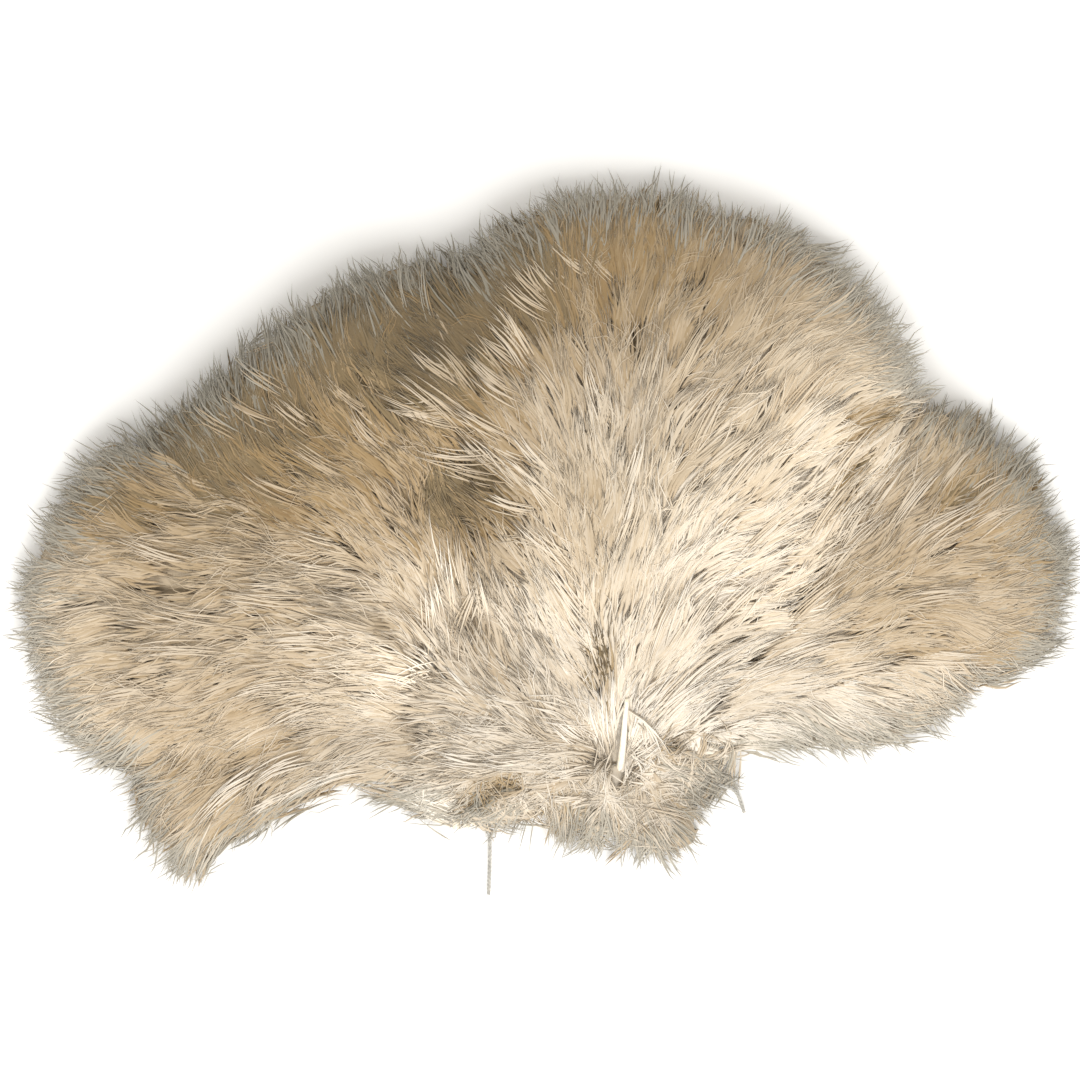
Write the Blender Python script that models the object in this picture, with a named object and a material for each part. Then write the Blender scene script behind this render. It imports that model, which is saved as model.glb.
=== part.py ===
"""A tuft of marabou plumes lying flat, their quills strung together on a thread.

Each plume is one feather: a bare quill that runs on into a vane of soft down, whose barbs hang
together in pointed locks. A vane is a grid folded round its shaft line, so that every second rib
ends in the tip of a lock and the ribs between them end in a notch. All lengths are in millimetres
until place_in_metres(). +Z is up, the quills point to -Y and the tips fan out to +Y.
"""

import math

import bmesh
import bpy
from mathutils import Vector

MM = 0.001
GAP = 0.4                # clear space that pressed plumes keep to each other
TIP_HEIGHT = 0.9         # thickness of a lock where it ends
NOTCH_DEPTH = 0.13       # share of a rib that the notch between two locks takes away
VALLEY_DEPTH = 0.13      # share of the height that the valley between two locks takes away
DOME_POWER = 0.62        # roundness of a vane's cross-section: lower is fuller
WELD = 0.001
QUILL_SIDES = 3          # bevel resolution of the quills, 10 sides round
THREAD_RADIUS = 0.4
THREAD_SIDES = 2         # bevel resolution of the thread, 8 sides round

DOWN_COLOUR = (0.62, 0.50, 0.36, 1.0)
THREAD_COLOUR = (0.55, 0.56, 0.55, 1.0)

# For each plume, at six even steps from the foot of its vane to its tip: the shaft line, the ends
# of the barbs on its left and right as seen from the foot, the height over the shaft line, and
# the height at the barb ends where the vane is pressed against a neighbour. quill is the bare
# shaft from its cut end to inside the vane, as x, y, z and radius. bend is how far the barbs turn
# outwards on their way, in degrees. locks is the number of locks on each side.
PLUMES = {
    "plume_centre": {
        "spine": [(15.6, -45), (15.2, -27), (14, -9), (13.6, 8), (14.8, 26), (17.6, 44)],
        "left": [(7, -45), (-17, -10), (-31.4, 31), (-20, 50), (-3, 68), (23, 72.4)],
        "right": [(30, -43), (55, -5), (73, 26), (71, 44), (52, 63), (23, 72.4)],
        "crown": [9, 25, 33, 32, 27, 19],
        "left_rim": [4, 13, 15, 10, 3, 0.9],
        "right_rim": [4, 15, 15, 7, 1, 0.9],
        "bend": (34, -50),
        "quill": [(13.4, -53.2, 8.2, 0.95), (15.0, -46, 8.0, 0.9), (15.8, -35, 9.0, 0.8)],
        "locks": 12,
    },
    "plume_inner_left": {
        "spine": [(6, -51), (1, -44), (-5, -34), (-10, -22), (-14.4, -10), (-18, 2)],
        "left": [(-8, -58.5), (-19.5, -54), (-22.4, -40), (-22.8, -24), (-22.8, -6), (-21.6, 13)],
        "right": [(11.6, -46), (12, -30), (9, -14), (1, 0), (-9, 11), (-21.6, 13)],
        "crown": [8, 14, 18, 18, 14, 9],
        "left_rim": [1, 5, 10, 12, 10, 4],
        "right_rim": [6, 12, 14, 13, 9, 4],
        "bend": (20, -20),
        "quill": [(10.6, -53.6, 6.2, 0.8), (9.2, -51, 5.6, 0.75), (2.5, -44, 5.0, 0.6)],
        "locks": 8,
    },
    "plume_left": {
        "spine": [(-21.6, -30.4), (-32, -20), (-44, -14.4), (-58, -11.6), (-72, -10.4), (-86, -10.4)],
        "left": [(-28, -40), (-48, -41), (-70, -44), (-88, -45), (-101, -34), (-106.4, -12)],
        "right": [(-22, -16), (-40, -1), (-65, 10), (-85, 20), (-99, 7), (-106.4, -12)],
        "crown": [12, 21, 26, 25, 21, 14],
        "left_rim": [6, 11, 9, 2, 0.9, 0.9],
        "right_rim": [10, 18, 16, 5, 0.9, 0.9],
        "bend": (24, -30),
        "quill": [(-15.6, -58.2, 2.2, 0.8), (-17.4, -46, 2.4, 0.75), (-25, -27, 4.0, 0.6)],
        "locks": 10,
    },
    "plume_right": {
        "spine": [(28, -40.4), (41, -27), (55, -15), (68, -8), (81, -1.6), (92, 3)],
        "left": [(36, -30), (52, -10), (65.6, 14), (81, 26.4), (99, 16), (107.2, -4)],
        "right": [(40, -39), (58, -30), (78, -26), (98, -25), (106, -17), (107.2, -4)],
        "crown": [9, 17, 20, 20, 17, 12],
        "left_rim": [6, 12, 8, 1, 0.9, 0.9],
        "right_rim": [5, 11, 9, 2, 0.9, 0.9],
        "bend": (30, -18),
        "quill": [(24.6, -46.6, 2.2, 0.8), (28.8, -39.6, 4.4, 0.75), (50, -20, 7.0, 0.5)],
        "locks": 9,
    },
    "plume_upper_left": {
        "spine": [(-20, -20), (-23, -7), (-29, 5), (-38, 15), (-48, 22), (-58, 28)],
        "left": [(-28, -20), (-42, -4), (-58, 2), (-71, 8), (-80, 17), (-72, 29)],
        "right": [(-14, -10), (-9, 14), (-8, 46), (-23, 57.4), (-45, 50), (-72, 29)],
        "crown": [12, 20, 27, 28, 24, 17],
        "left_rim": [10, 17, 16, 8, 1, 0.9],
        "right_rim": [8, 8, 3, 0.9, 0.9, 0.9],
        "bend": (26, -22),
        "quill": [(-13.6, -57.8, 2.2, 0.8), (-17.6, -34, 3.0, 0.75), (-27, -3, 6.0, 0.5)],
        "locks": 10,
    },
    "plume_lower_left": {
        "spine": [(-18, -46), (-27, -44), (-38, -43), (-48, -46), (-57, -50), (-65, -55)],
        "left": [(-17.6, -55), (-28, -53), (-39, -49.6), (-49, -54.6), (-61, -61.4), (-70.6, -70.6)],
        "right": [(-24, -35), (-40, -32), (-58, -36), (-80, -46), (-81, -61), (-70.6, -70.6)],
        "crown": [9, 13, 15, 14, 11, 7],
        "left_rim": [0.9, 0.9, 0.9, 0.9, 0.9, 0.9],
        "right_rim": [7, 11, 9, 1, 0.9, 0.9],
        "bend": (20, -20),
        "quill": [(-17.6, -58.6, 2.2, 0.8), (-19.0, -51, 2.4, 0.75), (-26, -43.4, 4.0, 0.6)],
        "locks": 7,
    },
    "plume_lower_right": {
        "spine": [(30, -42.4), (40, -37.6), (52, -33.6), (64, -31), (73, -30), (81, -28)],
        "left": [(38, -36), (58, -28), (76, -22), (88, -21), (94, -22), (97.6, -24.4)],
        "right": [(33, -44.4), (43, -42.4), (54, -42.6), (67, -42), (82, -35), (97.6, -24.4)],
        "crown": [6, 10, 11, 10, 8, 5],
        "left_rim": [5, 9, 8, 2, 0.9, 0.9],
        "right_rim": [0.9, 0.9, 0.9, 0.9, 0.9, 0.9],
        "bend": (16, -24),
        "quill": [(26.6, -47.6, 2.2, 0.8), (28.6, -43.8, 2.4, 0.75), (36, -39.4, 3.0, 0.6)],
        "locks": 7,
    },
    "plume_bottom": {
        "spine": [(17.6, -46.4), (18.4, -49), (19.2, -51.6), (20, -54), (20.8, -56), (21.6, -58)],
        "left": [(32, -45), (33.6, -51), (34, -56), (32, -61.6), (28, -65), (23, -64)],
        "right": [(6, -49), (1, -53.4), (2, -61.4), (9, -61.6), (16, -62.4), (23, -64)],
        "crown": [5, 5.6, 6, 6, 5.4, 4.4],
        "left_rim": [0.9, 0.9, 0.9, 0.9, 0.9, 0.9],
        "right_rim": [0.9, 0.9, 0.9, 0.9, 0.9, 0.9],
        "bend": (20, -20),
        "quill": [(21.4, -43.2, 1.6, 0.6), (20, -44.6, 1.8, 0.6), (18.2, -49, 2.4, 0.5)],
        "locks": 6,
    },
}

# The thread runs from one free end to the other and is looped round the quills on its way.
THREAD_ROUTE = [
    (-11.2, -72, 0.6), (-11.0, -66, 0.6), (-11.0, -60.4, 1.0), (-11.6, -56.4, 2.2),
    (-6, -57.4, 1.6), (2, -56.4, 3.0), (7.6, -53.2, 6.4), (12.2, -51.4, 9.9),
    (17.8, -50.2, 7.8), (22.2, -47.4, 3.6), (24.6, -45.4, 3.6), (28.6, -46.4, 2.4),
    (34, -49.4, 1.0), (38.6, -51, 0.6), (40.6, -55.4, 0.6),
]
THREAD_POINTS = 40
# Loops of the thread: centre, half width, half height and heading of the quills inside, in degrees.
THREAD_LOOPS = [
    ((-15.8, -55.6, 2.25), 3.9, 1.75, 96.0),
    ((-15.8, -54.6, 2.25), 3.9, 1.75, 96.0),
    ((12.1, -51.2, 7.05), 3.5, 2.9, 78.0),
    ((26.5, -45.2, 2.25), 2.9, 1.75, 62.0),
]
LOOP_POINTS = 14


def smooth(values, t):
    """The value at t, from 0 to 1, on a smooth line through evenly spaced values."""
    last = len(values) - 1
    at = min(max(t, 0.0), 1.0) * last
    k = min(int(at), last - 1)
    u = at - k
    p1, p2 = Vector(values[k]), Vector(values[k + 1])
    p0 = Vector(values[k - 1]) if k > 0 else 2 * p1 - p2
    p3 = Vector(values[k + 2]) if k + 2 <= last else 2 * p2 - p1
    return 0.5 * (2 * p1 + (p2 - p0) * u + (2 * p0 - 5 * p1 + 4 * p2 - p3) * u ** 2
                  + (3 * p1 - p0 - 3 * p2 + p3) * u ** 3)


def smooth_number(values, t):
    return smooth([(value, 0.0) for value in values], t)[0]


def rib_point(root, end, bend, share):
    """The point at a share of the way along an arc from root to end that turns by bend degrees."""
    turn = math.radians(bend)
    if abs(turn) < 0.01:
        return root.lerp(end, share)
    chord = end - root
    heading = math.atan2(chord.y, chord.x) - turn / 2
    radius = chord.length / (2 * math.sin(turn / 2))
    swung = heading + turn * share
    return root + radius * Vector((math.sin(swung) - math.sin(heading),
                                   math.cos(heading) - math.cos(swung)))


def vane_point(plume, across, t, stations):
    """Where a grid vertex goes: across is -1 at the left barb ends, 0 on the shaft, 1 at the right."""
    side = "left" if across < 0 else "right"
    share = abs(across)
    in_valley = round(t * stations) % 2 == 1
    reach = share * (1 - NOTCH_DEPTH) if in_valley else share
    root = smooth(plume["spine"], t)
    end = smooth(plume[side], t)
    bend = plume["bend"][0 if side == "left" else 1] * (1 - t)
    plan = rib_point(root, end, bend, reach)
    rim = max(smooth_number(plume[side + "_rim"], t), TIP_HEIGHT)
    crown = smooth_number(plume["crown"], t)
    height = rim + max(crown - rim, 0.0) * (1 - share ** 2) ** DOME_POWER
    if in_valley:
        height *= 1 - VALLEY_DEPTH * math.sin(math.pi * min(share + 0.1, 1.0))
    return Vector((plan.x, plan.y, max(height, TIP_HEIGHT)))


def vane(name, plume):
    """The downy vane: a grid laid over the plume, walled down to the ground and floored flat."""
    stations = 2 * plume["locks"]
    mesh = bmesh.new()
    bmesh.ops.create_grid(mesh, x_segments=8, y_segments=stations, size=1.0)
    for vert in mesh.verts:
        vert.co = vane_point(plume, vert.co.x, (vert.co.y + 1) / 2, stations)
    bmesh.ops.remove_doubles(mesh, verts=mesh.verts, dist=WELD)
    rim = [edge for edge in mesh.edges if edge.is_boundary]
    wall = bmesh.ops.extrude_edge_only(mesh, edges=rim)["geom"]
    for vert in wall:
        if isinstance(vert, bmesh.types.BMVert):
            vert.co.z = 0.0
    foot = [edge for edge in mesh.edges if edge.is_boundary]
    bmesh.ops.contextual_create(mesh, geom=foot)
    bmesh.ops.triangulate(mesh, faces=mesh.faces)
    bmesh.ops.recalc_face_normals(mesh, faces=mesh.faces)
    return as_object(name, mesh)


def as_object(name, mesh):
    data = bpy.data.meshes.new(name)
    mesh.to_mesh(data)
    mesh.free()
    made = bpy.data.objects.new(name, data)
    bpy.context.scene.collection.objects.link(made)
    return made


def tube(name, points, radii, sides, closed=False):
    """A round rod along the points as one closed mesh, with a radius at each."""
    curve = bpy.data.curves.new(name, "CURVE")
    curve.dimensions = "3D"
    curve.bevel_depth = 1.0
    curve.bevel_resolution = sides
    curve.use_fill_caps = not closed
    spline = curve.splines.new("POLY")
    spline.points.add(len(points) - 1)
    for point, place, radius in zip(spline.points, points, radii):
        point.co = (*place, 1.0)
        point.radius = radius
    spline.use_cyclic_u = closed
    guide = bpy.data.objects.new(name + "_line", curve)
    bpy.context.scene.collection.objects.link(guide)
    graph = bpy.context.evaluated_depsgraph_get()
    data = bpy.data.meshes.new_from_object(guide.evaluated_get(graph))
    bpy.data.objects.remove(guide)
    mesh = bmesh.new()
    mesh.from_mesh(data)
    bmesh.ops.remove_doubles(mesh, verts=mesh.verts, dist=WELD)
    bmesh.ops.triangulate(mesh, faces=mesh.faces)
    bmesh.ops.recalc_face_normals(mesh, faces=mesh.faces)
    return as_object(name, mesh)


def quill(name, line, grow=0.0):
    steps = [k / 5 for k in range(6)]
    rows = [smooth(line, t) for t in steps]
    return tube(name, [row[:3] for row in rows], [row[3] + grow for row in rows], QUILL_SIDES)


def thread(name, grow=0.0):
    """The stringing thread: its run from end to end, joined to the loops round the quills."""
    radius = THREAD_RADIUS + grow
    run = [smooth(THREAD_ROUTE, k / (THREAD_POINTS - 1)) for k in range(THREAD_POINTS)]
    made = tube(name, run, [radius] * len(run), THREAD_SIDES)
    for centre, wide, high, heading in THREAD_LOOPS:
        across = Vector((math.sin(math.radians(heading)), -math.cos(math.radians(heading)), 0))
        turns = [2 * math.pi * k / LOOP_POINTS for k in range(LOOP_POINTS)]
        ring = [Vector(centre) + across * wide * math.cos(a) + Vector((0, 0, high * math.sin(a)))
                for a in turns]
        loop = tube(name + "_loop", ring, [radius] * len(ring), THREAD_SIDES, closed=True)
        combine(made, loop, "UNION")
        bpy.data.objects.remove(loop)
    return made


def combine(target, other, operation):
    """Applies a Boolean of other to target's own mesh."""
    step = target.modifiers.new(operation.lower(), "BOOLEAN")
    step.operation = operation
    step.solver = "EXACT"
    step.object = other
    graph = bpy.context.evaluated_depsgraph_get()
    result = bpy.data.meshes.new_from_object(target.evaluated_get(graph))
    target.modifiers.remove(step)
    old, target.data = target.data, result
    bpy.data.meshes.remove(old)


def cut_away(target, room):
    combine(target, room, "DIFFERENCE")
    bpy.data.objects.remove(room)


def grown(source, by):
    """A copy of a solid, swollen by a little, that cuts the room its neighbours must leave."""
    mesh = bmesh.new()
    mesh.from_mesh(source.data)
    mesh.normal_update()
    places = [vert.co + vert.normal * by for vert in mesh.verts]
    for vert, place in zip(mesh.verts, places):
        vert.co = place
    return as_object(source.name + "_room", mesh)


def keep_largest(target):
    """Drops the crumbs that a cut leaves beside the main piece, and heals hairline edges."""
    mesh = bmesh.new()
    mesh.from_mesh(target.data)
    bmesh.ops.remove_doubles(mesh, verts=mesh.verts, dist=WELD)
    groups = []
    left = set(mesh.verts)
    while left:
        group, queue = set(), [left.pop()]
        while queue:
            vert = queue.pop()
            group.add(vert)
            near = {edge.other_vert(vert) for edge in vert.link_edges} & left
            left -= near
            queue.extend(near)
        groups.append(group)
    groups.sort(key=len)
    crumbs = [vert for group in groups[:-1] for vert in group]
    bmesh.ops.delete(mesh, geom=crumbs, context="VERTS")
    bmesh.ops.triangulate(mesh, faces=mesh.faces)
    mesh.to_mesh(target.data)
    mesh.free()


def finish_material(target, colour, roughness):
    material = bpy.data.materials.new(target.name + "_finish")
    material.use_nodes = True
    surface = material.node_tree.nodes["Principled BSDF"]
    surface.inputs["Base Color"].default_value = colour
    surface.inputs["Roughness"].default_value = roughness
    target.data.materials.clear()
    target.data.materials.append(material)
    target.data.shade_smooth()


def place_in_metres(target):
    mesh = bmesh.new()
    mesh.from_mesh(target.data)
    bmesh.ops.scale(mesh, vec=(MM, MM, MM), verts=mesh.verts)
    mesh.to_mesh(target.data)
    mesh.free()


def clear_scene():
    for old in list(bpy.data.objects):
        bpy.data.objects.remove(old)


def build():
    clear_scene()
    vanes = {name: vane(name, plume) for name, plume in PLUMES.items()}
    rooms = {name: grown(made, GAP) for name, made in vanes.items()}
    upper = []
    for name, made in vanes.items():
        for above in upper:
            combine(made, rooms[above], "DIFFERENCE")
        upper.append(name)
        keep_largest(made)
        for other, plume in PLUMES.items():
            if other != name:
                cut_away(made, quill(other + "_room", plume["quill"], GAP))
        keep_largest(made)
        shaft = quill(name + "_quill", PLUMES[name]["quill"])
        combine(made, shaft, "UNION")
        bpy.data.objects.remove(shaft)
        cut_away(made, thread("thread_room", GAP))
        keep_largest(made)
        finish_material(made, DOWN_COLOUR, 0.8)
    for room in rooms.values():
        bpy.data.objects.remove(room)
    string = thread("stringing_thread")
    keep_largest(string)
    finish_material(string, THREAD_COLOUR, 0.9)
    tuft = bpy.data.collections.new("marabou_tuft")
    bpy.context.scene.collection.children.link(tuft)
    for part in [*vanes.values(), string]:
        place_in_metres(part)
        bpy.context.scene.collection.objects.unlink(part)
        tuft.objects.link(part)


build()
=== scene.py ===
# A tuft of strung marabou plumes, lying flat: soft barbs in locks, ivory quills, cotton thread.
import math

import bmesh
import bpy
import numpy as np
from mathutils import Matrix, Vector


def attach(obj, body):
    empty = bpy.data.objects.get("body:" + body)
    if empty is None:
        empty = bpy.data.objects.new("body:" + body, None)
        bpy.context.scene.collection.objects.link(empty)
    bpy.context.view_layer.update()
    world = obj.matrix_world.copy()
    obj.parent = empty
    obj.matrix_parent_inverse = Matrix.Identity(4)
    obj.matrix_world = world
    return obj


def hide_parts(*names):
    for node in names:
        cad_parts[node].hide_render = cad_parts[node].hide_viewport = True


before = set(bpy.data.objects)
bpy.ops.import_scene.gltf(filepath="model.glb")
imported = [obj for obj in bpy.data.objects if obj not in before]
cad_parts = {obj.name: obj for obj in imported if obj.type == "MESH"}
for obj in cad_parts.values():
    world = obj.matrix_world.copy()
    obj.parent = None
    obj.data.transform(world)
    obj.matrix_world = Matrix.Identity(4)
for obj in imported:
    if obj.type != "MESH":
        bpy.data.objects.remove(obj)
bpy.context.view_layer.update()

mm = 0.001
rng = np.random.default_rng(8362)

# Every plume, in mm, from the foot of its vane to its tip.
# spine: the shaft's line; left and right: where the barbs end on both sides; crown, leftRim
# and rightRim: the height over the shaft and at the barb ends; bend: how far the barbs curve
# on both sides at the foot, in degrees; locks: how many valleys part the vane; quill: the
# bare quill as x, y, z and radius.
# share: part of all the barbs; tone: how light the down is at foot, middle and tip, where 1 is
# nearly white, 0 tan and less is painted shade, so the darker tips are partly the down's own tan
# and partly painted shade where a plume slopes away from the light; lean: how much lighter it
# gets in 100 mm to the right; warm: how brown the barbs are; ruffle: how unevenly the locks lie;
# push: how far, at most, the neighbours push the down up.
# comb: which way the barbs lie, as x, y and heading in degrees; picked: pointed locks that
# catch the eye, as root x and y, tip x and y, how far they bow, and how light they are;
# curls: where the barbs lie loose and curled, as x, y, radius, count of locks, and how far
# they wind, in radians.
plumes = {
    "plume_centre": {
        "spine": [(15.6, -45), (15.2, -27), (14, -9), (13.6, 8), (14.8, 26), (17.6, 44)],
        "left": [(7, -45), (-17, -10), (-31.4, 31), (-20, 50), (-3, 68), (23, 72.4)],
        "right": [(30, -43), (55, -5), (73, 26), (71, 44), (52, 63), (23, 72.4)],
        "crown": [9, 25, 33, 32, 27, 19],
        "leftRim": [4, 13, 15, 10, 3, 0.9], "rightRim": [4, 15, 15, 7, 1, 0.9],
        "bend": (34, -50), "locks": 12, "share": 0.335, "tone": (0.36, 0.48, 0.04), "warm": 0.6,
        "push": 2, "ruffle": 0.4, "lean": 0.55,
        "quill": [(13.4, -53.2, 8.2, 0.95), (15, -46, 8, 0.9), (15.8, -35, 9, 0.8)],
        "comb": [(14, -44, 92), (8, -44, 130), (21, -44, 58), (28, -42, 38), (3, -30, 122),
            (-6, -18, 128), (-9, -4, 135), (-13, 8, 142), (-19, 22, 152), (-25, 30, 156),
            (-13, 32, 142), (-19, 40, 134), (-9, 48, 130), (-3, 60, 122), (3, 68, 104),
            (4, 42, 116), (6, 28, 108), (11, 8, 96), (11, 28, 90), (11, 48, 94), (19, 62, 90),
            (21, 48, 80), (19, -12, 80), (19, 8, 78), (21, 24, 70), (29, 32, 62), (31, 48, 62),
            (31, 60, 72), (39, 60, 66), (43, 48, 50), (31, 4, 50), (39, 18, 44), (43, 28, 40),
            (51, 42, 34), (61, 48, 38), (65, 38, 20), (67, 32, 8), (39, 0, 22), (51, 12, 26),
            (57, 22, 34), (29, -20, 46), (27, -33, 46), (36, -16, 24), (44, -6, 24)],
        "picked": [(-0.8, 5.4, -13.2, 9, 0.5, 0.32), (-1.2, 5.4, -18.4, 21.4, -0.8, 0.32),
            (-6.8, 12.8, -17.8, 19.8, 0.3, 0.22), (-4.8, 11.8, -23.2, 16.6, 1.2, 0.17),
            (-11.2, 17.8, -32.2, 34.8, -1, 0.22), (-13.2, 22.2, -33.8, 28.8, 1.2, 0.17),
            (-16.4, 25.4, -31.8, 25.2, 0.8, 0.12), (-7.8, 16.2, -27.8, 18.4, 1.8, 0.17),
            (-4.8, 27.4, -16.4, 37.8, 0.6, 0.07), (-1.6, 33, -11, 47.6, -0.6, 0.42),
            (-2.2, 31.8, -12, 43.8, -0.8, 0.27), (3.2, 43.4, -9.2, 52.2, 1, 0.12),
            (-12, 27.4, -22.8, 40.2, -0.5, 0.07), (-14.4, 28.6, -28.4, 39, 0.4, 0.17),
            (-18.4, 37.4, -25, 48.4, -0.4, 0.02), (-5.8, 32.2, -14.8, 41.8, 0.5, 0.07),
            (3.6, 47.4, -3.8, 55.8, 0.3, 0.17), (2.2, 45, -7.8, 55.2, 0.6, 0.12),
            (11.6, 50.6, 0.2, 59.2, 1, 0.17), (13.6, 49.4, 6.2, 58.8, 0.4, 0.07),
            (-3.6, 25.4, -15.8, 33.4, 0.5, 0.12), (-4.8, 19.4, -18.8, 27, 0.8, 0.12),
            (-2.8, 13.8, -14.8, 19.8, 0.6, 0.17), (0.2, 9.8, -8.8, 17.4, 0.5, 0.22),
            (11.2, -20.2, 1.6, -5.4, 1, 0.27), (10.4, -16.6, -0.8, -1.8, 0.6, 0.27),
            (6.8, -4.6, -5.8, 5.4, 0.8, 0.27), (4.4, 3.8, -4.8, 14.2, 0.6, 0.27),
            (8.2, -10.2, -1.8, 4.8, 0.5, 0.27), (3.6, 11.8, -6.8, 21.8, 0.5, 0.17),
            (13.6, -4.2, 18.8, 13.8, -0.6, 0.27), (14.8, 3.8, 19.6, 24.8, -0.8, 0.22),
            (12.4, 13.8, 9.2, 32.8, 0.6, 0.22), (10.8, 21.8, 8.2, 37.8, 0.4, 0.12),
            (16.8, -30.6, 20, -7.2, 0.6, 0.07), (19.2, -30.2, 29.2, -4.2, 1.5, 0.07),
            (22.4, -11, 20, 0.2, 0.5, 0.07), (21.2, -32.2, 39.2, -4.2, 2, 0.07),
            (21.6, -36.2, 45.2, -17.8, 2.5, 0.07), (20.2, -39.2, 35.2, -27.2, 1.5, 0.12),
            (31.2, -20.2, 49.2, -4.2, 1.5, 0.07), (37.2, -4.2, 59.2, 11.8, 1.5, 0.12),
            (31.2, 3.8, 49.2, 23.8, 1.8, 0.12), (43.2, 13.8, 61.2, 29.8, 1.5, 0.12),
            (27.2, 13.8, 39.2, 33.8, 1.2, 0.12), (45.2, 21.8, 63.2, 38.8, 1.2, 0.07),
            (19.2, 23.8, 24.2, 41.8, 0.5, 0.07), (25.2, 27.8, 35.2, 45.8, 0.9, 0.07),
            (51.2, -4.2, 65.2, 13.8, 1.5, 0.07), (55.2, 7.8, 67.2, 23.8, 1.2, 0.12),
            (13.6, -44.6, 8.8, -30.2, 0.8, 0.27), (14, -44.2, 11.4, -27.8, 0.5, 0.27),
            (14.4, -43.8, 13.6, -24.2, 0.2, 0.27), (15.2, -43.8, 18, -29, -0.3, 0.27),
            (15.6, -43.8, 20.8, -29.8, -0.5, 0.27), (16, -44.2, 24, -34.6, -0.6, 0.27),
            (15.6, -45, 24.8, -39.2, -0.6, 0.22)],
        "curls": [(12, -47, 6, 30, 0.9), (21, -42, 5, 20, 0.9)],
    },
    "plume_inner_left": {
        "spine": [(6, -51), (1, -44), (-5, -34), (-10, -22), (-14.4, -10), (-18, 2)],
        "left": [(-8, -58.5), (-19.5, -54), (-22.4, -40), (-22.8, -24), (-22.8, -6), (-21.6, 13)],
        "right": [(11.6, -46), (12, -30), (9, -14), (1, 0), (-9, 11), (-21.6, 13)],
        "crown": [8, 14, 18, 18, 14, 9],
        "leftRim": [1, 5, 10, 12, 10, 4], "rightRim": [6, 12, 14, 13, 9, 4],
        "bend": (20, -20), "locks": 8, "share": 0.09, "tone": (0.4, 0.34, 0.26), "warm": 0.5,
        "push": 3, "ruffle": 1, "lean": 0,
        "quill": [(10.6, -53.6, 6.2, 0.8), (9.2, -51, 5.6, 0.75), (2.5, -44, 5, 0.6)],
        "comb": [(-21, -20, 96), (-19, -8, 92), (-22, 8, 102), (-12, -20, 112), (-8, -12, 122),
            (0, -32, 112), (-12, -40, 165), (-20, -40, 172), (-5, -48, 190), (4, -46, 160),
            (-8, -32, 148), (-14, -52, 200), (-4, -56, 250), (6, -52, 235)],
        "picked": [(-18.4, -20.2, -21.2, 3.8, -1.2, 0.55), (-19.8, -16.2, -24.8, 11.8, 1, 0.5),
            (-20.8, -20.2, -24.4, -4.2, -0.8, 0.5), (-14.8, -4.2, -22.8, 11.8, 0.8, 0.2),
            (-16.8, -22.2, -8.8, -4.2, 1.5, 0.15), (-10.8, -20.2, -14.8, -4.2, -1, 0.2),
            (-4.8, -22.2, -12.8, -10.2, -1, 0.25), (3.2, -20.2, -8.8, -10.2, -1, 0.25),
            (8.2, -32.2, 0.2, -20.2, -1, 0.2), (7.2, -36.2, -4.8, -32.2, -1, 0.15),
            (9.2, -41.2, 1.2, -35.2, 0.8, 0.2), (10.2, -45.2, -0.8, -46.2, 0.5, 0.15),
            (-0.8, -32.2, -14.8, -30.2, 1, 0.1), (-4.8, -38.2, -20.8, -36.2, 1, 0.1),
            (-8.8, -44.2, -24.8, -41.2, 1, 0.1), (-12.8, -32.2, -20.8, -24.2, 0.8, 0.3),
            (8.2, -30.2, 6.2, -20.2, 0.5, 0.25), (3.2, -40.2, -8.8, -41.2, 0.8, 0),
            (-14.8, -40.2, -28.8, -44.2, -1, 0.1), (-18.8, -26.2, -32.8, -30.2, -1, 0.55)],
        "curls": [(-9, -51, 7, 50, 2), (2, -50, 6, 36, 1.6), (-14, -38, 8, 14, 1.2),
            (-7.8, -49.2, 2.6, 16, 5), (-12.8, -52.2, 2.6, 16, 5)],
    },
    "plume_left": {
        "spine": [(-21.6, -30.4), (-32, -20), (-44, -14.4), (-58, -11.6), (-72, -10.4), (-86, -10.4)],
        "left": [(-28, -40), (-48, -41), (-70, -44), (-88, -45), (-101, -34), (-106.4, -12)],
        "right": [(-22, -16), (-40, -1), (-65, 10), (-85, 20), (-99, 7), (-106.4, -12)],
        "crown": [12, 21, 26, 25, 21, 14],
        "leftRim": [6, 11, 9, 2, 0.9, 0.9], "rightRim": [10, 18, 16, 5, 0.9, 0.9],
        "bend": (24, -30), "locks": 10, "share": 0.19, "tone": (0.5, 0.24, 0.36), "warm": 0.45,
        "push": 4, "ruffle": 0.7, "lean": 0,
        "quill": [(-15.6, -58.2, 2.2, 0.8), (-17.4, -46, 2.4, 0.75), (-25, -27, 4, 0.6)],
        "comb": [(-21, -30, 160), (-28, -30, 168), (-38, -20, 174), (-28, -5, 152), (-38, -12, 178),
            (-58, -12, 180), (-78, -12, 180), (-96, -12, 182), (-48, 0, 174), (-68, 0, 172),
            (-88, 0, 167), (-98, 0, 152), (-58, 8, 164), (-78, 8, 155), (-88, 12, 153),
            (-48, -24, 180), (-68, -22, 188), (-88, -24, 196), (-96, -30, 202), (-42, -32, 179),
            (-58, -36, 198), (-72, -38, 202), (-84, -40, 196), (-48, -40, 206), (-60, -46, 222)],
        "picked": [(-30.8, 13.8, -42.8, 21.8, 1, 0.08), (-24.8, 11.8, -38.8, 18.8, 1.2, 0.03),
            (-28.8, 3.8, -48.8, 9.8, 1.5, 0.03), (-29.8, -1.2, -50.8, 1.8, 1.2, 0.08),
            (-32.8, -7.2, -54.8, -4.2, 1, 0.08), (-26.8, -12.2, -46.8, -10.2, 1.5, 0.08),
            (-42.8, -12.2, -64.8, -10.2, 1.2, 0.03), (-50.8, -4.2, -72.8, -0.2, 1, -0.02),
            (-36.8, -20.2, -58.8, -20.2, -1, 0.08), (-28.8, -23.2, -50.8, -25.2, 1, 0.13),
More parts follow.
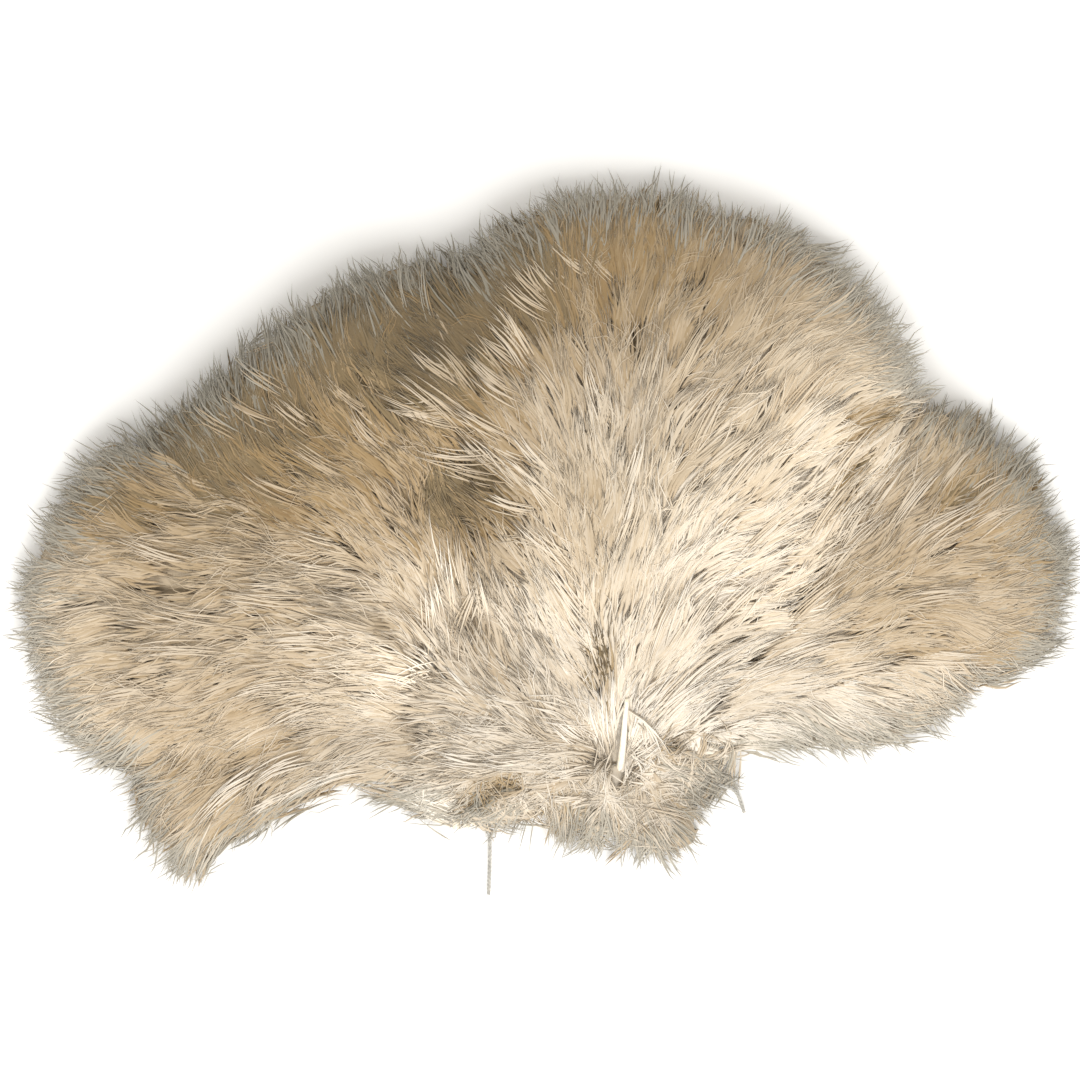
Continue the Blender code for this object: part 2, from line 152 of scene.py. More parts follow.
            (-20.8, -31.2, -38.8, -25.8, -1, 0.5), (-16.8, -32.2, -30.8, -20.2, -1.5, 0.45),
            (-42.8, -28.2, -64.8, -32.2, -1.5, 0.08), (-58.8, -16.2, -80.8, -12.2, 1, -0.02),
            (-60.8, -22.2, -84.8, -22.2, -0.5, -0.02), (-48.8, -36.2, -65.8, -44.2, -1.5, 0.08),
            (-66.8, -4.2, -86.8, 0.8, 0.8, -0.02), (-72.8, -30.2, -90.8, -32.2, -0.8, -0.02),
            (-38.8, -32.2, -56.8, -38.2, -1.2, 0.08), (-56.8, 11.8, -72.8, 17.8, 1, -0.07)],
        "curls": [],
    },
    "plume_right": {
        "spine": [(28, -40.4), (41, -27), (55, -15), (68, -8), (81, -1.6), (92, 3)],
        "left": [(36, -30), (52, -10), (65.6, 14), (81, 26.4), (99, 16), (107.2, -4)],
        "right": [(40, -39), (58, -30), (78, -26), (98, -25), (106, -17), (107.2, -4)],
        "crown": [9, 17, 20, 20, 17, 12],
        "leftRim": [6, 12, 8, 1, 0.9, 0.9], "rightRim": [5, 11, 9, 2, 0.9, 0.9],
        "bend": (30, -18), "locks": 9, "share": 0.12, "tone": (0.5, 0.3, 0.04), "warm": 0.45,
        "push": 8, "ruffle": 0.35, "lean": 0,
        "quill": [(24.6, -46.6, 2.2, 0.8), (28.8, -39.6, 4.4, 0.75), (50, -20, 7, 0.5)],
        "comb": [(31, -32, 32), (43, -20, 26), (51, -12, 32), (59, -4, 46), (61, 8, 56),
            (65, 16, 57), (71, 20, 58), (79, 22, 62), (87, 18, 52), (95, 12, 46), (103, 4, 30),
            (71, 0, 45), (75, 8, 50), (83, 8, 46), (91, 0, 22), (83, -4, 16), (91, -12, 0),
            (103, -12, -6), (71, -12, 8), (61, -20, 12), (81, -20, 0), (71, -25, -5),
            (93, -25, -6)],
        "picked": [(29.2, -30.2, 44.2, -21.8, 1, 0.2), (31.2, -25.2, 49.2, -15.2, 1, 0.2),
            (35.6, -22.2, 53.6, -10.6, 1, 0.2), (39.6, -16.6, 58.2, -6.2, 1, 0.2),
            (44, -11.4, 63.6, -0.2, 1, 0.2), (47.6, -5.8, 66.4, 4.6, 1, 0.15),
            (51.6, -1.8, 69.6, 8.2, 1, 0.15), (34.8, -30.2, 52.4, -23.2, 1, 0.2),
            (45.2, -20.2, 65.2, -4.2, 2, 0.1), (51.2, -16.2, 71.2, 7.8, 2.5, 0.15),
            (57.2, -4.2, 67.2, 11.8, 0.8, 0.15), (61.2, -0.2, 77.2, 19.8, 1.5, 0.15),
            (67.2, -0.2, 81.2, 15.8, 1.2, 0.1), (71.2, -4.2, 91.2, 7.8, 1.5, 0.05),
            (43.2, -26.2, 61.2, -20.2, 1, 0.05), (77.2, 7.8, 88.2, 19.8, 0.8, 0.05),
            (83.2, -0.2, 99.2, 7.8, 1, 0), (67.2, -12.2, 89.2, -10.2, 0.6, -0.05),
            (51.2, -28.2, 71.2, -24.2, 0.5, 0.05), (81.2, 3.8, 95.2, 13.8, 0.8, 0.05)],
        "curls": [],
    },
    "plume_upper_left": {
        "spine": [(-20, -20), (-23, -7), (-29, 5), (-38, 15), (-48, 22), (-58, 28)],
        "left": [(-28, -20), (-42, -4), (-58, 2), (-71, 8), (-80, 17), (-72, 29)],
        "right": [(-14, -10), (-9, 14), (-8, 46), (-23, 57.4), (-45, 50), (-72, 29)],
        "crown": [12, 20, 27, 28, 24, 17],
        "leftRim": [10, 17, 16, 8, 1, 0.9], "rightRim": [8, 8, 3, 0.9, 0.9, 0.9],
        "bend": (26, -22), "locks": 10, "share": 0.15, "tone": (0.48, 0.13, -0.2), "warm": 0.55,
        "push": 3, "ruffle": 0.4, "lean": 0,
        "quill": [(-13.6, -57.8, 2.2, 0.8), (-17.6, -34, 3, 0.75), (-27, -3, 6, 0.5)],
        "comb": [(-25, -20, 110), (-27, -8, 116), (-29, 4, 130), (-35, 12, 140), (-45, 18, 146),
            (-57, 14, 152), (-63, 18, 128), (-69, 22, 112), (-75, 22, 120), (-39, 22, 120),
            (-49, 28, 102), (-53, 36, 96), (-41, 32, 100), (-41, 42, 96), (-33, 28, 136),
            (-29, 42, 124), (-19, 44, 124), (-25, 56, 110), (-37, 52, 126), (-19, 50, 128),
            (-61, 32, 112), (-49, 42, 116), (-13, 30, 135)],
        "picked": [(-24.8, 39.8, -34.8, 52.8, 0.5, -0.15), (-28.8, 41.8, -41.8, 54.2, 0.8, -0.15),
            (-38.8, 35.8, -51.8, 45.8, 0.6, -0.1), (-48.8, 27.8, -62.8, 37.8, 0.8, -0.1),
            (-42.8, 19.8, -54.8, 28.8, 0.8, 0.05), (-50.8, 21.8, -65.8, 29.8, 0.8, -0.05),
            (-32.8, 23.8, -44.8, 33.8, 1, -0.05), (-36.8, 11.8, -50.8, 19.8, 1, -0.05),
            (-58.8, 19.8, -70.8, 27.8, 0.6, -0.1), (-28.8, 15.8, -39.8, 27.8, 1, -0.1),
            (-20.8, 41.8, -24.8, 57.8, 0.4, -0.2), (-24.8, 43.8, -29.2, 58.6, 0.4, -0.2),
            (-44.8, 7.8, -60.8, 13.8, 1, -0.1), (-52.8, 41.8, -60.8, 37.8, 0.5, -0.15)],
        "curls": [],
    },
    "plume_lower_left": {
        "spine": [(-18, -46), (-27, -44), (-38, -43), (-48, -46), (-57, -50), (-65, -55)],
        "left": [(-17.6, -55), (-28, -53), (-39, -49.6), (-49, -54.6), (-61, -61.4), (-70.6, -70.6)],
        "right": [(-24, -35), (-40, -32), (-58, -36), (-80, -46), (-81, -61), (-70.6, -70.6)],
        "crown": [9, 13, 15, 14, 11, 7],
        "leftRim": [0.9, 0.9, 0.9, 0.9, 0.9, 0.9], "rightRim": [7, 11, 9, 1, 0.9, 0.9],
        "bend": (20, -20), "locks": 7, "share": 0.058, "tone": (0.36, 0.18, 0.1), "warm": 0.2,
        "push": 4, "ruffle": 0.6, "lean": 0,
        "quill": [(-17.6, -58.6, 2.2, 0.8), (-19, -51, 2.4, 0.75), (-26, -43.4, 4, 0.6)],
        "comb": [(-28, -42, 180), (-38, -43, 194), (-48, -46, 210), (-58, -52, 224),
            (-66, -58, 236), (-72, -62, 240), (-70, -68, 255), (-76, -52, 220), (-80, -48, 200),
            (-62, -48, 222), (-22, -50, 190), (-30, -50, 200)],
        "picked": [(-16.6, -57.4, -28.6, -51.8, 0.4, 0.5), (-16.2, -56.6, -27, -52.6, 0.3, 0.45),
            (-17.4, -57.8, -25.2, -54.4, 0.3, 0.5), (-15.8, -55.8, -30.4, -51.2, 0.6, 0.4),
            (-42.8, -42.2, -60.8, -50.2, -1.5, 0.2), (-52.8, -44.2, -67.8, -55.2, -1.2, 0.2),
            (-56.8, -46.2, -70.4, -59.2, -1.2, 0.15), (-60.8, -50.2, -73, -74.4, -1.5, 0),
            (-64.4, -52.2, -82.6, -65, 1, -0.1), (-68.8, -46.2, -87.4, -55.4, 1, -0.1),
            (-48.8, -50.2, -60.8, -56.2, -0.8, 0.1), (-32.8, -46.2, -48.8, -50.2, -1, 0.2),
            (-66, -54.2, -74.6, -69.4, -0.8, -0.1), (-38.8, -46.2, -54.8, -54.6, -1, 0.1)],
        "curls": [(-18, -50, 6, 30, 1.2)],
    },
    "plume_lower_right": {
        "spine": [(30, -42.4), (40, -37.6), (52, -33.6), (64, -31), (73, -30), (81, -28)],
        "left": [(38, -36), (58, -28), (76, -22), (88, -21), (94, -22), (97.6, -24.4)],
        "right": [(33, -44.4), (43, -42.4), (54, -42.6), (67, -42), (82, -35), (97.6, -24.4)],
        "crown": [6, 10, 11, 10, 8, 5],
        "leftRim": [5, 9, 8, 2, 0.9, 0.9], "rightRim": [0.9, 0.9, 0.9, 0.9, 0.9, 0.9],
        "bend": (16, -24), "locks": 7, "share": 0.042, "tone": (0.6, 0.46, 0.34), "warm": 0.25,
        "push": 5, "ruffle": 0.7, "lean": 0,
        "quill": [(26.6, -47.6, 2.2, 0.8), (28.6, -43.8, 2.4, 0.75), (36, -39.4, 3, 0.6)],
        "comb": [(31, -40, 10), (35, -37, 4), (51, -30, -4), (61, -32, -15), (71, -30, -10),
            (67, -38, -44), (53, -40, -40), (81, -24, -5), (91, -24, -5), (77, -32, -25),
            (63, -36, -30), (42, -42, -14)],
        "picked": [(43.2, -32.2, 61.2, -41.2, -1, 0.1), (51.2, -30.2, 67.2, -41.4, -1, 0),
            (37.2, -36.2, 51.2, -42.2, -0.8, 0.1), (59.2, -28.2, 81.2, -33.4, -0.8, 0),
            (67.2, -24.2, 95.6, -24.6, -0.6, 0), (35.2, -38.2, 45.2, -35.2, 0.6, 0.1)],
        "curls": [],
    },
    "plume_bottom": {
        "spine": [(17.6, -46.4), (18.4, -49), (19.2, -51.6), (20, -54), (20.8, -56), (21.6, -58)],
        "left": [(32, -45), (33.6, -51), (34, -56), (32, -61.6), (28, -65), (23, -64)],
        "right": [(6, -49), (1, -53.4), (2, -61.4), (9, -61.6), (16, -62.4), (23, -64)],
        "crown": [5, 5.6, 6, 6, 5.4, 4.4],
        "leftRim": [0.9, 0.9, 0.9, 0.9, 0.9, 0.9], "rightRim": [0.9, 0.9, 0.9, 0.9, 0.9, 0.9],
        "bend": (20, -20), "locks": 6, "share": 0.03, "tone": (0.34, 0.24, 0.14), "warm": 0.5,
        "push": 4, "ruffle": 1, "lean": 0,
        "quill": [(21.4, -43.2, 1.6, 0.6), (20, -44.6, 1.8, 0.6), (18.2, -49, 2.4, 0.5)],
        "comb": [(13, -50, 265), (3, -52, 230), (1, -58, 252), (11, -58, 258), (21, -58, 284),
            (27, -58, 308), (29, -54, 318), (19, -52, 280), (7, -52, 248), (31, -47, 330)],
        "picked": [(19.2, -56.2, 25.2, -64.6, 0.3, -0.2), (19.2, -52.2, 31.6, -57.4, 0.4, -0.1),
            (11.2, -52.2, 8.2, -59.2, -0.3, -0.1), (3.2, -50.2, 2.8, -62.2, 0.4, -0.1),
            (-0.8, -49.2, 3.2, -58.2, 0.6, -0.1), (15.2, -54.2, 17.6, -60.6, 0.3, -0.1),
            (9.2, -50.2, -0.8, -52.2, 0.4, 0.1), (21.2, -50.2, 29.2, -50.2, 0.5, 0),
            (27.2, -46.2, 32.2, -50.2, 0.3, 0), (31.2, -44.2, 36.2, -49.2, 0.3, 0)],
        "curls": [(8, -54, 7, 60, 1), (20, -54, 8, 70, 1), (28, -48, 5, 40, 1.2),
            (34, -46, 5, 24, 1), (13, -49, 4, 50, 0.8), (22, -45, 4, 36, 0.8)],
    },
}

# Places where the down differs, as x, y and radius in mm, change of tone, and depth in mm.
# A depth below 0 is a mound. A darker tone in a hollow, slit, opening, parting or notch is painted
# shade.
places = [
    (-17, 7, 9, -0.5, 4), (-13, 14, 5, -0.3, 3),  # painted shade in the hollow beside the centre plume, which also lies deeper
    (11.4, -23, 2.2, -1.2, 2), (11.2, -29, 1.6, -1.2, 2),  # painted shade in the slit by its quill
    # painted shade in the openings at the knots
    (25.6, -41, 1.6, -1, 1.5), (-7.8, -49.2, 2, -1.2, 3), (-12.8, -52.2, 2, -1.2, 3),
    (66, 24, 3.5, -0.7, 1.5), (84, 10, 3.5, -0.3, 1),  # painted shade in the partings of the right plume
    (17, -38, 9, 0.1, 0), (2, -12, 9, 0.15, 0),  # the white down round the quills
    (-20, 34, 13, -0.3, 0), (-8, 50, 10, -0.2, 0),  # painted shade by the centre plume's left edge, where the down slopes away from the light
    # the fluff heaped over the thread
    (13, -50.8, 4.6, 0.1, -5.4), (12.4, -46.8, 2.4, 0.05, -1.6), (22, -46, 4, 0.05, -1.5),
    (-82, 13, 14, -0.42, 0), (-97, 2, 9, -0.2, 0), (-60, 4, 9, -0.12, 0),  # painted shade on the left plume's top, which slopes away from the light
    (51, 28, 13, 0.18, 0), (42, -16, 12, -0.1, 0),  # light and shade on the centre's right
    (-22, -54.4, 5, 0.5, 0),  # the pale butts by the left knot
    (62, 14, 2.4, -0.7, 1.5), (60, 8, 1.7, -0.9, 1),  # painted shade in the notch before the right plume
    (10, -2, 3.2, -0.2, 0), (9, 10, 3.4, -0.15, 0),  # along the centre plume's shaft
    (-22, -8, 6, 0.25, 0), (-23, -20, 6, 0.25, 0), (-31, -28, 7, 0.2, 0),  # the white swath
]

# The coats of barbs on every plume, from the matted down to the loose rim. Lengths in mm.
# part: share of the plume's barbs; perLock: barbs in a lock; lift: how far tips rise, per mm of
# length; sink: how deep a lock's root lies; gather: how far the tips of a lock close up, from
# 0 to 1; spread: how far apart its barbs lie; tone and vary: how light they are, and how
# unlike; wave, turns and bow: how they wind; stray: how far locks leave the combed direction,
# in radians; over: how far past the tuft's outline tips may hang out, less than 0 inside it;
# low: how high over the floor the roots lie of the barbs under the tuft's edge.
coats = {
    "mat": {"part": 0.2, "perLock": 6, "length": (12, 22), "width": (0.8, 1.5), "lift": 0.01,
            "sink": 0.4, "gather": 0.35, "spread": 1.5, "tone": -0.03, "vary": 0.03, "wave": 0.4,
            "turns": 0.8, "bow": 0.8, "stray": 0.1, "over": (-7, -3), "rimOnly": False},
    "locks": {"part": 0.41, "perLock": 9, "length": (13, 27), "width": (0.4, 0.75),
              "lift": 0.03, "sink": 0.4, "gather": 0.75, "spread": 1.2, "tone": 0.06,
              "vary": 0.05, "wave": 0.5, "turns": 0.8, "bow": 0.9, "stray": 0.15,
              "over": (-8, -2), "rimOnly": False},
    "fuzz": {"part": 0.1, "perLock": 3, "length": (8, 18), "width": (0.18, 0.3),
             "lift": 0.1, "sink": 0.2, "gather": 0.3, "spread": 1.0, "tone": 0.2, "vary": 0.08,
             "wave": 0.8, "turns": 1.1, "bow": 1.5, "stray": 0.3, "over": (-3, 0),
             "rimOnly": False},
    "rim": {"part": 0.15, "perLock": 4, "length": (14, 24), "width": (0.42, 0.68),
            "lift": 0.03, "sink": 0.2, "gather": 0.65, "spread": 1.1, "tone": 0.0,
            "vary": 0.06, "wave": 0.7, "turns": 0.9, "bow": 1.1, "stray": 0.16,
            "over": (-2, 4), "rimOnly": True},
    "under": {"part": 0.14, "perLock": 3, "length": (9, 16), "width": (0.5, 0.9), "lift": 0.0,
              "sink": 0.0, "gather": 0.3, "spread": 1.0, "tone": -0.02, "vary": 0.06,
              "wave": 0.5, "turns": 0.8, "bow": 0.9, "stray": 0.25, "over": (-3, 1),
              "rimOnly": True, "low": 8},
}
pickedCoat = {"perLock": 9, "width": (0.3, 0.5), "lift": 0.045, "sink": -0.9, "gather": 0.6,
              "spread": 1.3, "tone": 0.1, "vary": 0.04, "wave": 0.3, "turns": 0.7, "bow": 0.6}
curlCoat = {"perLock": 5, "length": (8, 17), "width": (0.3, 0.55), "lift": 0.03, "sink": 0.3,
            "gather": 0.5, "spread": 0.8, "tone": 0.12, "vary": 0.08, "wave": 0.5,
            "turns": 1.0, "bow": 1.2}
strandSettings = {"total": 36500, "points": 6, "lockSteps": 8, "mostTriangles": 190000,
                  "flat": 0.24, "clearOfQuill": 1.0}


# Numbers and curves

def through(values, t):
    # a smooth line through evenly spaced values, read at every t from 0 to 1
    values = np.array(values, float).reshape(len(values), -1)
    padded = np.vstack([2 * values[0] - values[1], values, 2 * values[-1] - values[-2]])
    last = len(values) - 1
    at = np.clip(t, 0, 1) * last
    k = np.minimum(at.astype(int), last - 1)
    u = (at - k)[..., None]
    p0, p1, p2, p3 = (padded[k + step] for step in range(4))
    bow = (2 * p0 - 5 * p1 + 4 * p2 - p3) * u ** 2 + (3 * p1 - p0 - 3 * p2 + p3) * u ** 3
    return 0.5 * (2 * p1 + (p2 - p0) * u + bow)


formSettings = {"lowest": 0.9, "arch": 0.62, "valleyDepth": 0.05}


def onPlume(plume, t, across):
    # the place on the plume's surface: t runs along the shaft, across from -1 left to 1 right
    isRight = across > 0
    share = np.abs(across)
    root = through(plume["spine"], t)
    end = np.where(isRight[..., None], through(plume["right"], t), through(plume["left"], t))
    rim = np.where(isRight, through(plume["rightRim"], t)[..., 0],
                   through(plume["leftRim"], t)[..., 0])
    crown = through(plume["crown"], t)[..., 0]
    turn = np.radians(np.where(isRight, plume["bend"][1], plume["bend"][0]) * (1 - t))
    turn = np.where(np.abs(turn) < 0.01, 0.01, turn)
    chord = end - root
    heading = np.arctan2(chord[..., 1], chord[..., 0]) - turn / 2
    radius = np.linalg.norm(chord, axis=-1) / (2 * np.sin(turn / 2))
    swung = heading + turn * share
    x = root[..., 0] + radius * (np.sin(swung) - np.sin(heading))
    y = root[..., 1] + radius * (np.cos(heading) - np.cos(swung))
    arch = np.clip(1 - share ** 2, 0, 1) ** formSettings["arch"]
    valley = 0.5 - 0.5 * np.cos(2 * np.pi * t * plume["locks"])
    z = np.maximum(rim, formSettings["lowest"]) + np.maximum(crown - rim, 0) * arch
    valleyDepth = formSettings["valleyDepth"]
    z *= 1 - valleyDepth * valley * np.sin(np.pi * np.minimum(share + 0.1, 1))
    return np.stack([x, y, z], axis=-1)


def drift(place, scale, seed):
    # slow, even noise over the plan, from -1 to 1, that bends whole neighbourhoods of barbs
    turns = np.random.default_rng(seed).uniform(0, 2 * np.pi, (5, 2))
    value = 0
    for k, (angle, phase) in enumerate(turns):
        step = place[..., 0] * math.cos(angle) + place[..., 1] * math.sin(angle)
        value = value + np.sin(step * 2 * np.pi / (scale * (1 + 0.35 * k)) + phase)
    return value / 2.6


# Height maps of the plumes

# Cells of 1 mm. edge: how far distances are worked out; skirt and skirtFall: how far the down
# is pushed up beside a higher plume, and how steeply that falls; under: how far below that
# plume's surface it stays; groove: how wide a groove swells shut, and swell: how far at most.
mapSettings = {"west": -125, "south": -90, "wide": 250, "high": 180, "edge": 16,
               "samples": (700, 500), "skirt": 14, "skirtFall": 0.9, "under": 1.2,
               "groove": 5, "swell": 5, "join": 3}


def cellOf(place):
    column = np.clip(place[..., 0] - mapSettings["west"], 0, mapSettings["wide"] - 1.01)
    row = np.clip(place[..., 1] - mapSettings["south"], 0, mapSettings["high"] - 1.01)
    return column, row


def heightMap(plume):
    # the plume's top surface on a grid of 1 mm cells, 0 where there is no plume
    along, over = mapSettings["samples"]
    t, across = np.meshgrid(np.linspace(0, 1, along), np.linspace(-1, 1, over))
    surface = onPlume(plume, t.ravel(), across.ravel())
    column, row = (part.astype(int) for part in cellOf(surface))
    grid = np.zeros((mapSettings["high"], mapSettings["wide"]))
    np.maximum.at(grid, (row, column), surface[:, 2])
    return grid


def readMap(grid, place):
    column, row = cellOf(place)
    i, j = row.astype(int), column.astype(int)
    v, u = row - i, column - j
    low = grid[i, j] * (1 - u) + grid[i, j + 1] * u
    high = grid[i + 1, j] * (1 - u) + grid[i + 1, j + 1] * u
    return low * (1 - v) + high * v


def skirt(plume, others):
    # how far the down is pushed up beside a higher plume, and on under that plume's edge
    reach = others.copy()
    for _ in range(mapSettings["skirt"]):
        for axis in (0, 1):
            for way in (-1, 1):
                beside = np.roll(reach, way, axis) - mapSettings["skirtFall"]
                reach = np.maximum(reach, beside)
    under = np.minimum(reach, others - mapSettings["under"])
    reach = np.where(others > plume["map"], under, reach)
    push = np.clip(reach - plume["map"], 0, plume["push"])
    push[plume["map"] <= 0] = 0
    return evened(push)


def evened(grid):
    # every cell averaged with its neighbours, twice
    for _ in range(2):
        grid = (grid + np.roll(grid, 1, 0) + np.roll(grid, -1, 0) + np.roll(grid, 1, 1)
                + np.roll(grid, -1, 1)) / 5
    return grid


def widened(grid, reach, pick):
    # every cell takes the highest or the lowest value within its reach
    for _ in range(reach):
        before = grid
        for axis in (0, 1):
            for way in (-1, 1):
                grid = pick(grid, np.roll(before, way, axis))
    return grid


def bridged(grid, reach):
    # the grid with its narrow dips filled, the way locks lie across them
    return widened(widened(grid, reach, np.maximum), reach, np.minimum)


def awayFrom(inside):
    # how far every cell is from the nearest cell that is inside, in mm
    away = np.where(inside, 0.0, 99.0)
    for _ in range(mapSettings["edge"]):
        for axis in (0, 1):
            for way in (-1, 1):
                away = np.minimum(away, np.roll(away, way, axis) + 1)
                both = np.roll(np.roll(away, way, 0), -way if axis else way, 1)
                away = np.minimum(away, both + 1.41)
    return away


# Barbs

scatterSettings = {"tries": 12, "step": 0.004, "hiddenBelow": 0.9, "hiddenShare": 0.15}


def scatter(plume, count):
    # places spread evenly over what is seen of the plume, and thinly under the plumes on it
    t = rng.uniform(0, 1, count * scatterSettings["tries"])
    across = rng.uniform(-1, 1, count * scatterSettings["tries"])
    step = scatterSettings["step"]
    here = onPlume(plume, t, across)
    along = (onPlume(plume, np.clip(t + step, 0, 1), across) - here)[..., :2]
    out = (onPlume(plume, t, across + np.sign(across) * step) - here)[..., :2]
    area = np.abs(along[:, 0] * out[:, 1] - along[:, 1] * out[:, 0])
    area[t + step > 1] = 0
    seenFrom = readMap(plume["others"], here) - scatterSettings["hiddenBelow"]
    area[readMap(plume["map"], here) < seenFrom] *= scatterSettings["hiddenShare"]
    picked = rng.choice(len(t), size=count, replace=False, p=area / area.sum())
    return here[picked, :2]


# soften and falloff: how a stroke of the comb fades with distance; beside: how strongly the
# neighbours' strokes count; drifts: how far the barbs wander, as radians, mm and seed
combSettings = {"soften": 25, "falloff": 1.8, "beside": 0.3,
                "drifts": [(0.16, 17, 5), (0.12, 7, 6)]}


def comb(plume, start, length, stray):
    # the lines of locks over the plan, step by step along the combed direction
    own = plume["comb"]
    beside = [stroke for other in plumes.values() if other is not plume
              for stroke in other["comb"]]
    strokes = np.array(own + beside, float)
    strength = np.array([1.0] * len(own) + [combSettings["beside"]] * len(beside))
    steps = strandSettings["lockSteps"]
    place, line = start, [start]
    for _ in range(steps):
        away = place[:, None, :] - strokes[None, :, :2]
        weight = np.sum(away ** 2, axis=2) + combSettings["soften"]
        weight = strength / weight ** combSettings["falloff"]
        angle = np.radians(strokes[:, 2])
        flow = np.arctan2(weight @ np.sin(angle), weight @ np.cos(angle))
        flow = flow + stray
        for turn, scale, seed in combSettings["drifts"]:
            flow = flow + turn * drift(place, scale, seed)
        heading = np.stack([np.cos(flow), np.sin(flow)], axis=1)
        place = place + heading * (length / steps)[:, None]
        line.append(place)
    return np.stack(line, axis=1)


def along(line, u):
    # the point of every line at its own share u of the way, from 0 to 1
    last = line.shape[1] - 1
    at = np.clip(u, 0, 1) * last
    k = np.minimum(at.astype(int), last - 1)
    rest = (at - k)[..., None]
    rows = np.arange(len(line))[:, None]
    return line[rows, k] * (1 - rest) + line[rows, k + 1] * rest


# rimTries: how many places are tried for each lock of the rim, nearest to the outline first;
# inside: how high the plume is, at least, where a lock starts
growSettings = {"rimTries": 4, "inside": 2, "pulls": 5, "pull": 0.4}


def growCoat(plume, coat, count):
    # one coat of barbs, combed over the plume in locks
    locks = max(count // coat["perLock"], 3)
    middle = scatter(plume, locks * (growSettings["rimTries"] if coat["rimOnly"] else 1))
    if coat["rimOnly"]:
        nearRim = np.argsort(readMap(insideMap, middle))[:locks]
        middle = middle[nearRim]
    length = rng.uniform(*coat["length"], locks)
    stray = rng.normal(0, coat["stray"], locks)
    back = comb(plume, middle, length * 0.5, stray)
    start = middle - (back[:, -1] - middle)
    for _ in range(growSettings["pulls"]):
        outside = readMap(plume["map"], start) < growSettings["inside"]
        start[outside] += growSettings["pull"] * (middle - start)[outside]
    line = comb(plume, start, length, stray)
    # a lock that would hang out too far is drawn back
    over = readMap(outsideMap, line) > rng.uniform(*coat["over"], locks)[:, None]
    kept = np.where(over.any(axis=1), over.argmax(axis=1), line.shape[1] - 1)
    pull = (1 - kept / (line.shape[1] - 1)) * length
    heading = line[:, 1] - line[:, 0]
    heading /= np.linalg.norm(heading, axis=1, keepdims=True)
    line = comb(plume, start - heading * pull[:, None], length, stray)
    return layLocks(plume, coat, line, length)


def growPicked(plume):
    # the pointed locks that are placed one by one
    picked = np.array(plume["picked"], float)
    root, tip = picked[:, 0:2], picked[:, 2:4]
    length = np.linalg.norm(tip - root, axis=1)
    u = np.linspace(0, 1, strandSettings["lockSteps"] + 1)[None, :, None]
    beside = np.stack([root[:, 1] - tip[:, 1], tip[:, 0] - root[:, 0]], axis=1) / length[:, None]
    bow = (beside * picked[:, 4:5])[:, None, :] * 4 * u * (1 - u)
    line = root[:, None, :] * (1 - u) + tip[:, None, :] * u + bow
    grown = layLocks(plume, pickedCoat, line, length)
    return grown, picked[:, 5]


# knot: where the quills are tied, which curls point away from; loose: by how many radians not
curlSettings = {"knot": (14, -46), "loose": 1.2, "straightFrom": 0.3}


def growCurls(plume):
    # loose locks round the quills, each winding its own way
    lines, lengths = [], []
    steps = strandSettings["lockSteps"]
    knot = curlSettings["knot"]
    for x, y, radius, locks, wind in plume["curls"]:
        length = rng.uniform(*curlCoat["length"], locks)
        heading = np.arctan2(y - knot[1], x - knot[0])
        heading = heading + rng.normal(0, curlSettings["loose"], locks)
        turn = rng.normal(0, wind, locks)
        away = radius * np.sqrt(rng.uniform(0, 1, locks))
        way = rng.uniform(0, 2 * np.pi, locks)
        place = np.stack([x + away * np.cos(way), y + away * np.sin(way)], axis=1)
        ahead = np.stack([np.cos(heading), np.sin(heading)], axis=1)
        place = place - 0.5 * length[:, None] * ahead
        line = [place]
        for k in range(steps):
            angle = heading + turn * (k / steps - curlSettings["straightFrom"])
            step = np.stack([np.cos(angle), np.sin(angle)], axis=1) * (length / steps)[:, None]
            line.append(line[-1] + step)
        lines.append(np.stack(line, axis=1))
        lengths.append(length)
    return layLocks(plume, curlCoat, np.concatenate(lines), np.concatenate(lengths))


# starts and ends: the parts of its lock's line at whose ends a barb may start and end; phase
# and turns: how its wave differs from its neighbours'; over: its height over the next plume;
# steep and gentle: how far it may fall, per mm, within rim mm of the outline and elsewhere;
# climb: how far it may climb on to the next plume, per mm; crown: how high a lock's middle
# lies; lifts and liftEach: how unlike the lifts of locks, and of a lock's barbs, are; root and
# tip: the heights of the barbs under the tuft's edge; point and floor: the least half width
# in half widths, and the least height
layingSettings = {"starts": 0.3, "ends": 0.72, "phase": 0.7, "turns": (0.7, 1.6), "over": 0.3,
                  "steep": 1.2, "gentle": 0.55, "rim": 5, "climb": 0.35, "crown": 0.4,
                  "lifts": (0.2, 1.4), "liftEach": (0.7, 1.3), "root": 0.5, "tip": 1.2,
                  "point": 0.02, "floor": 0.3}


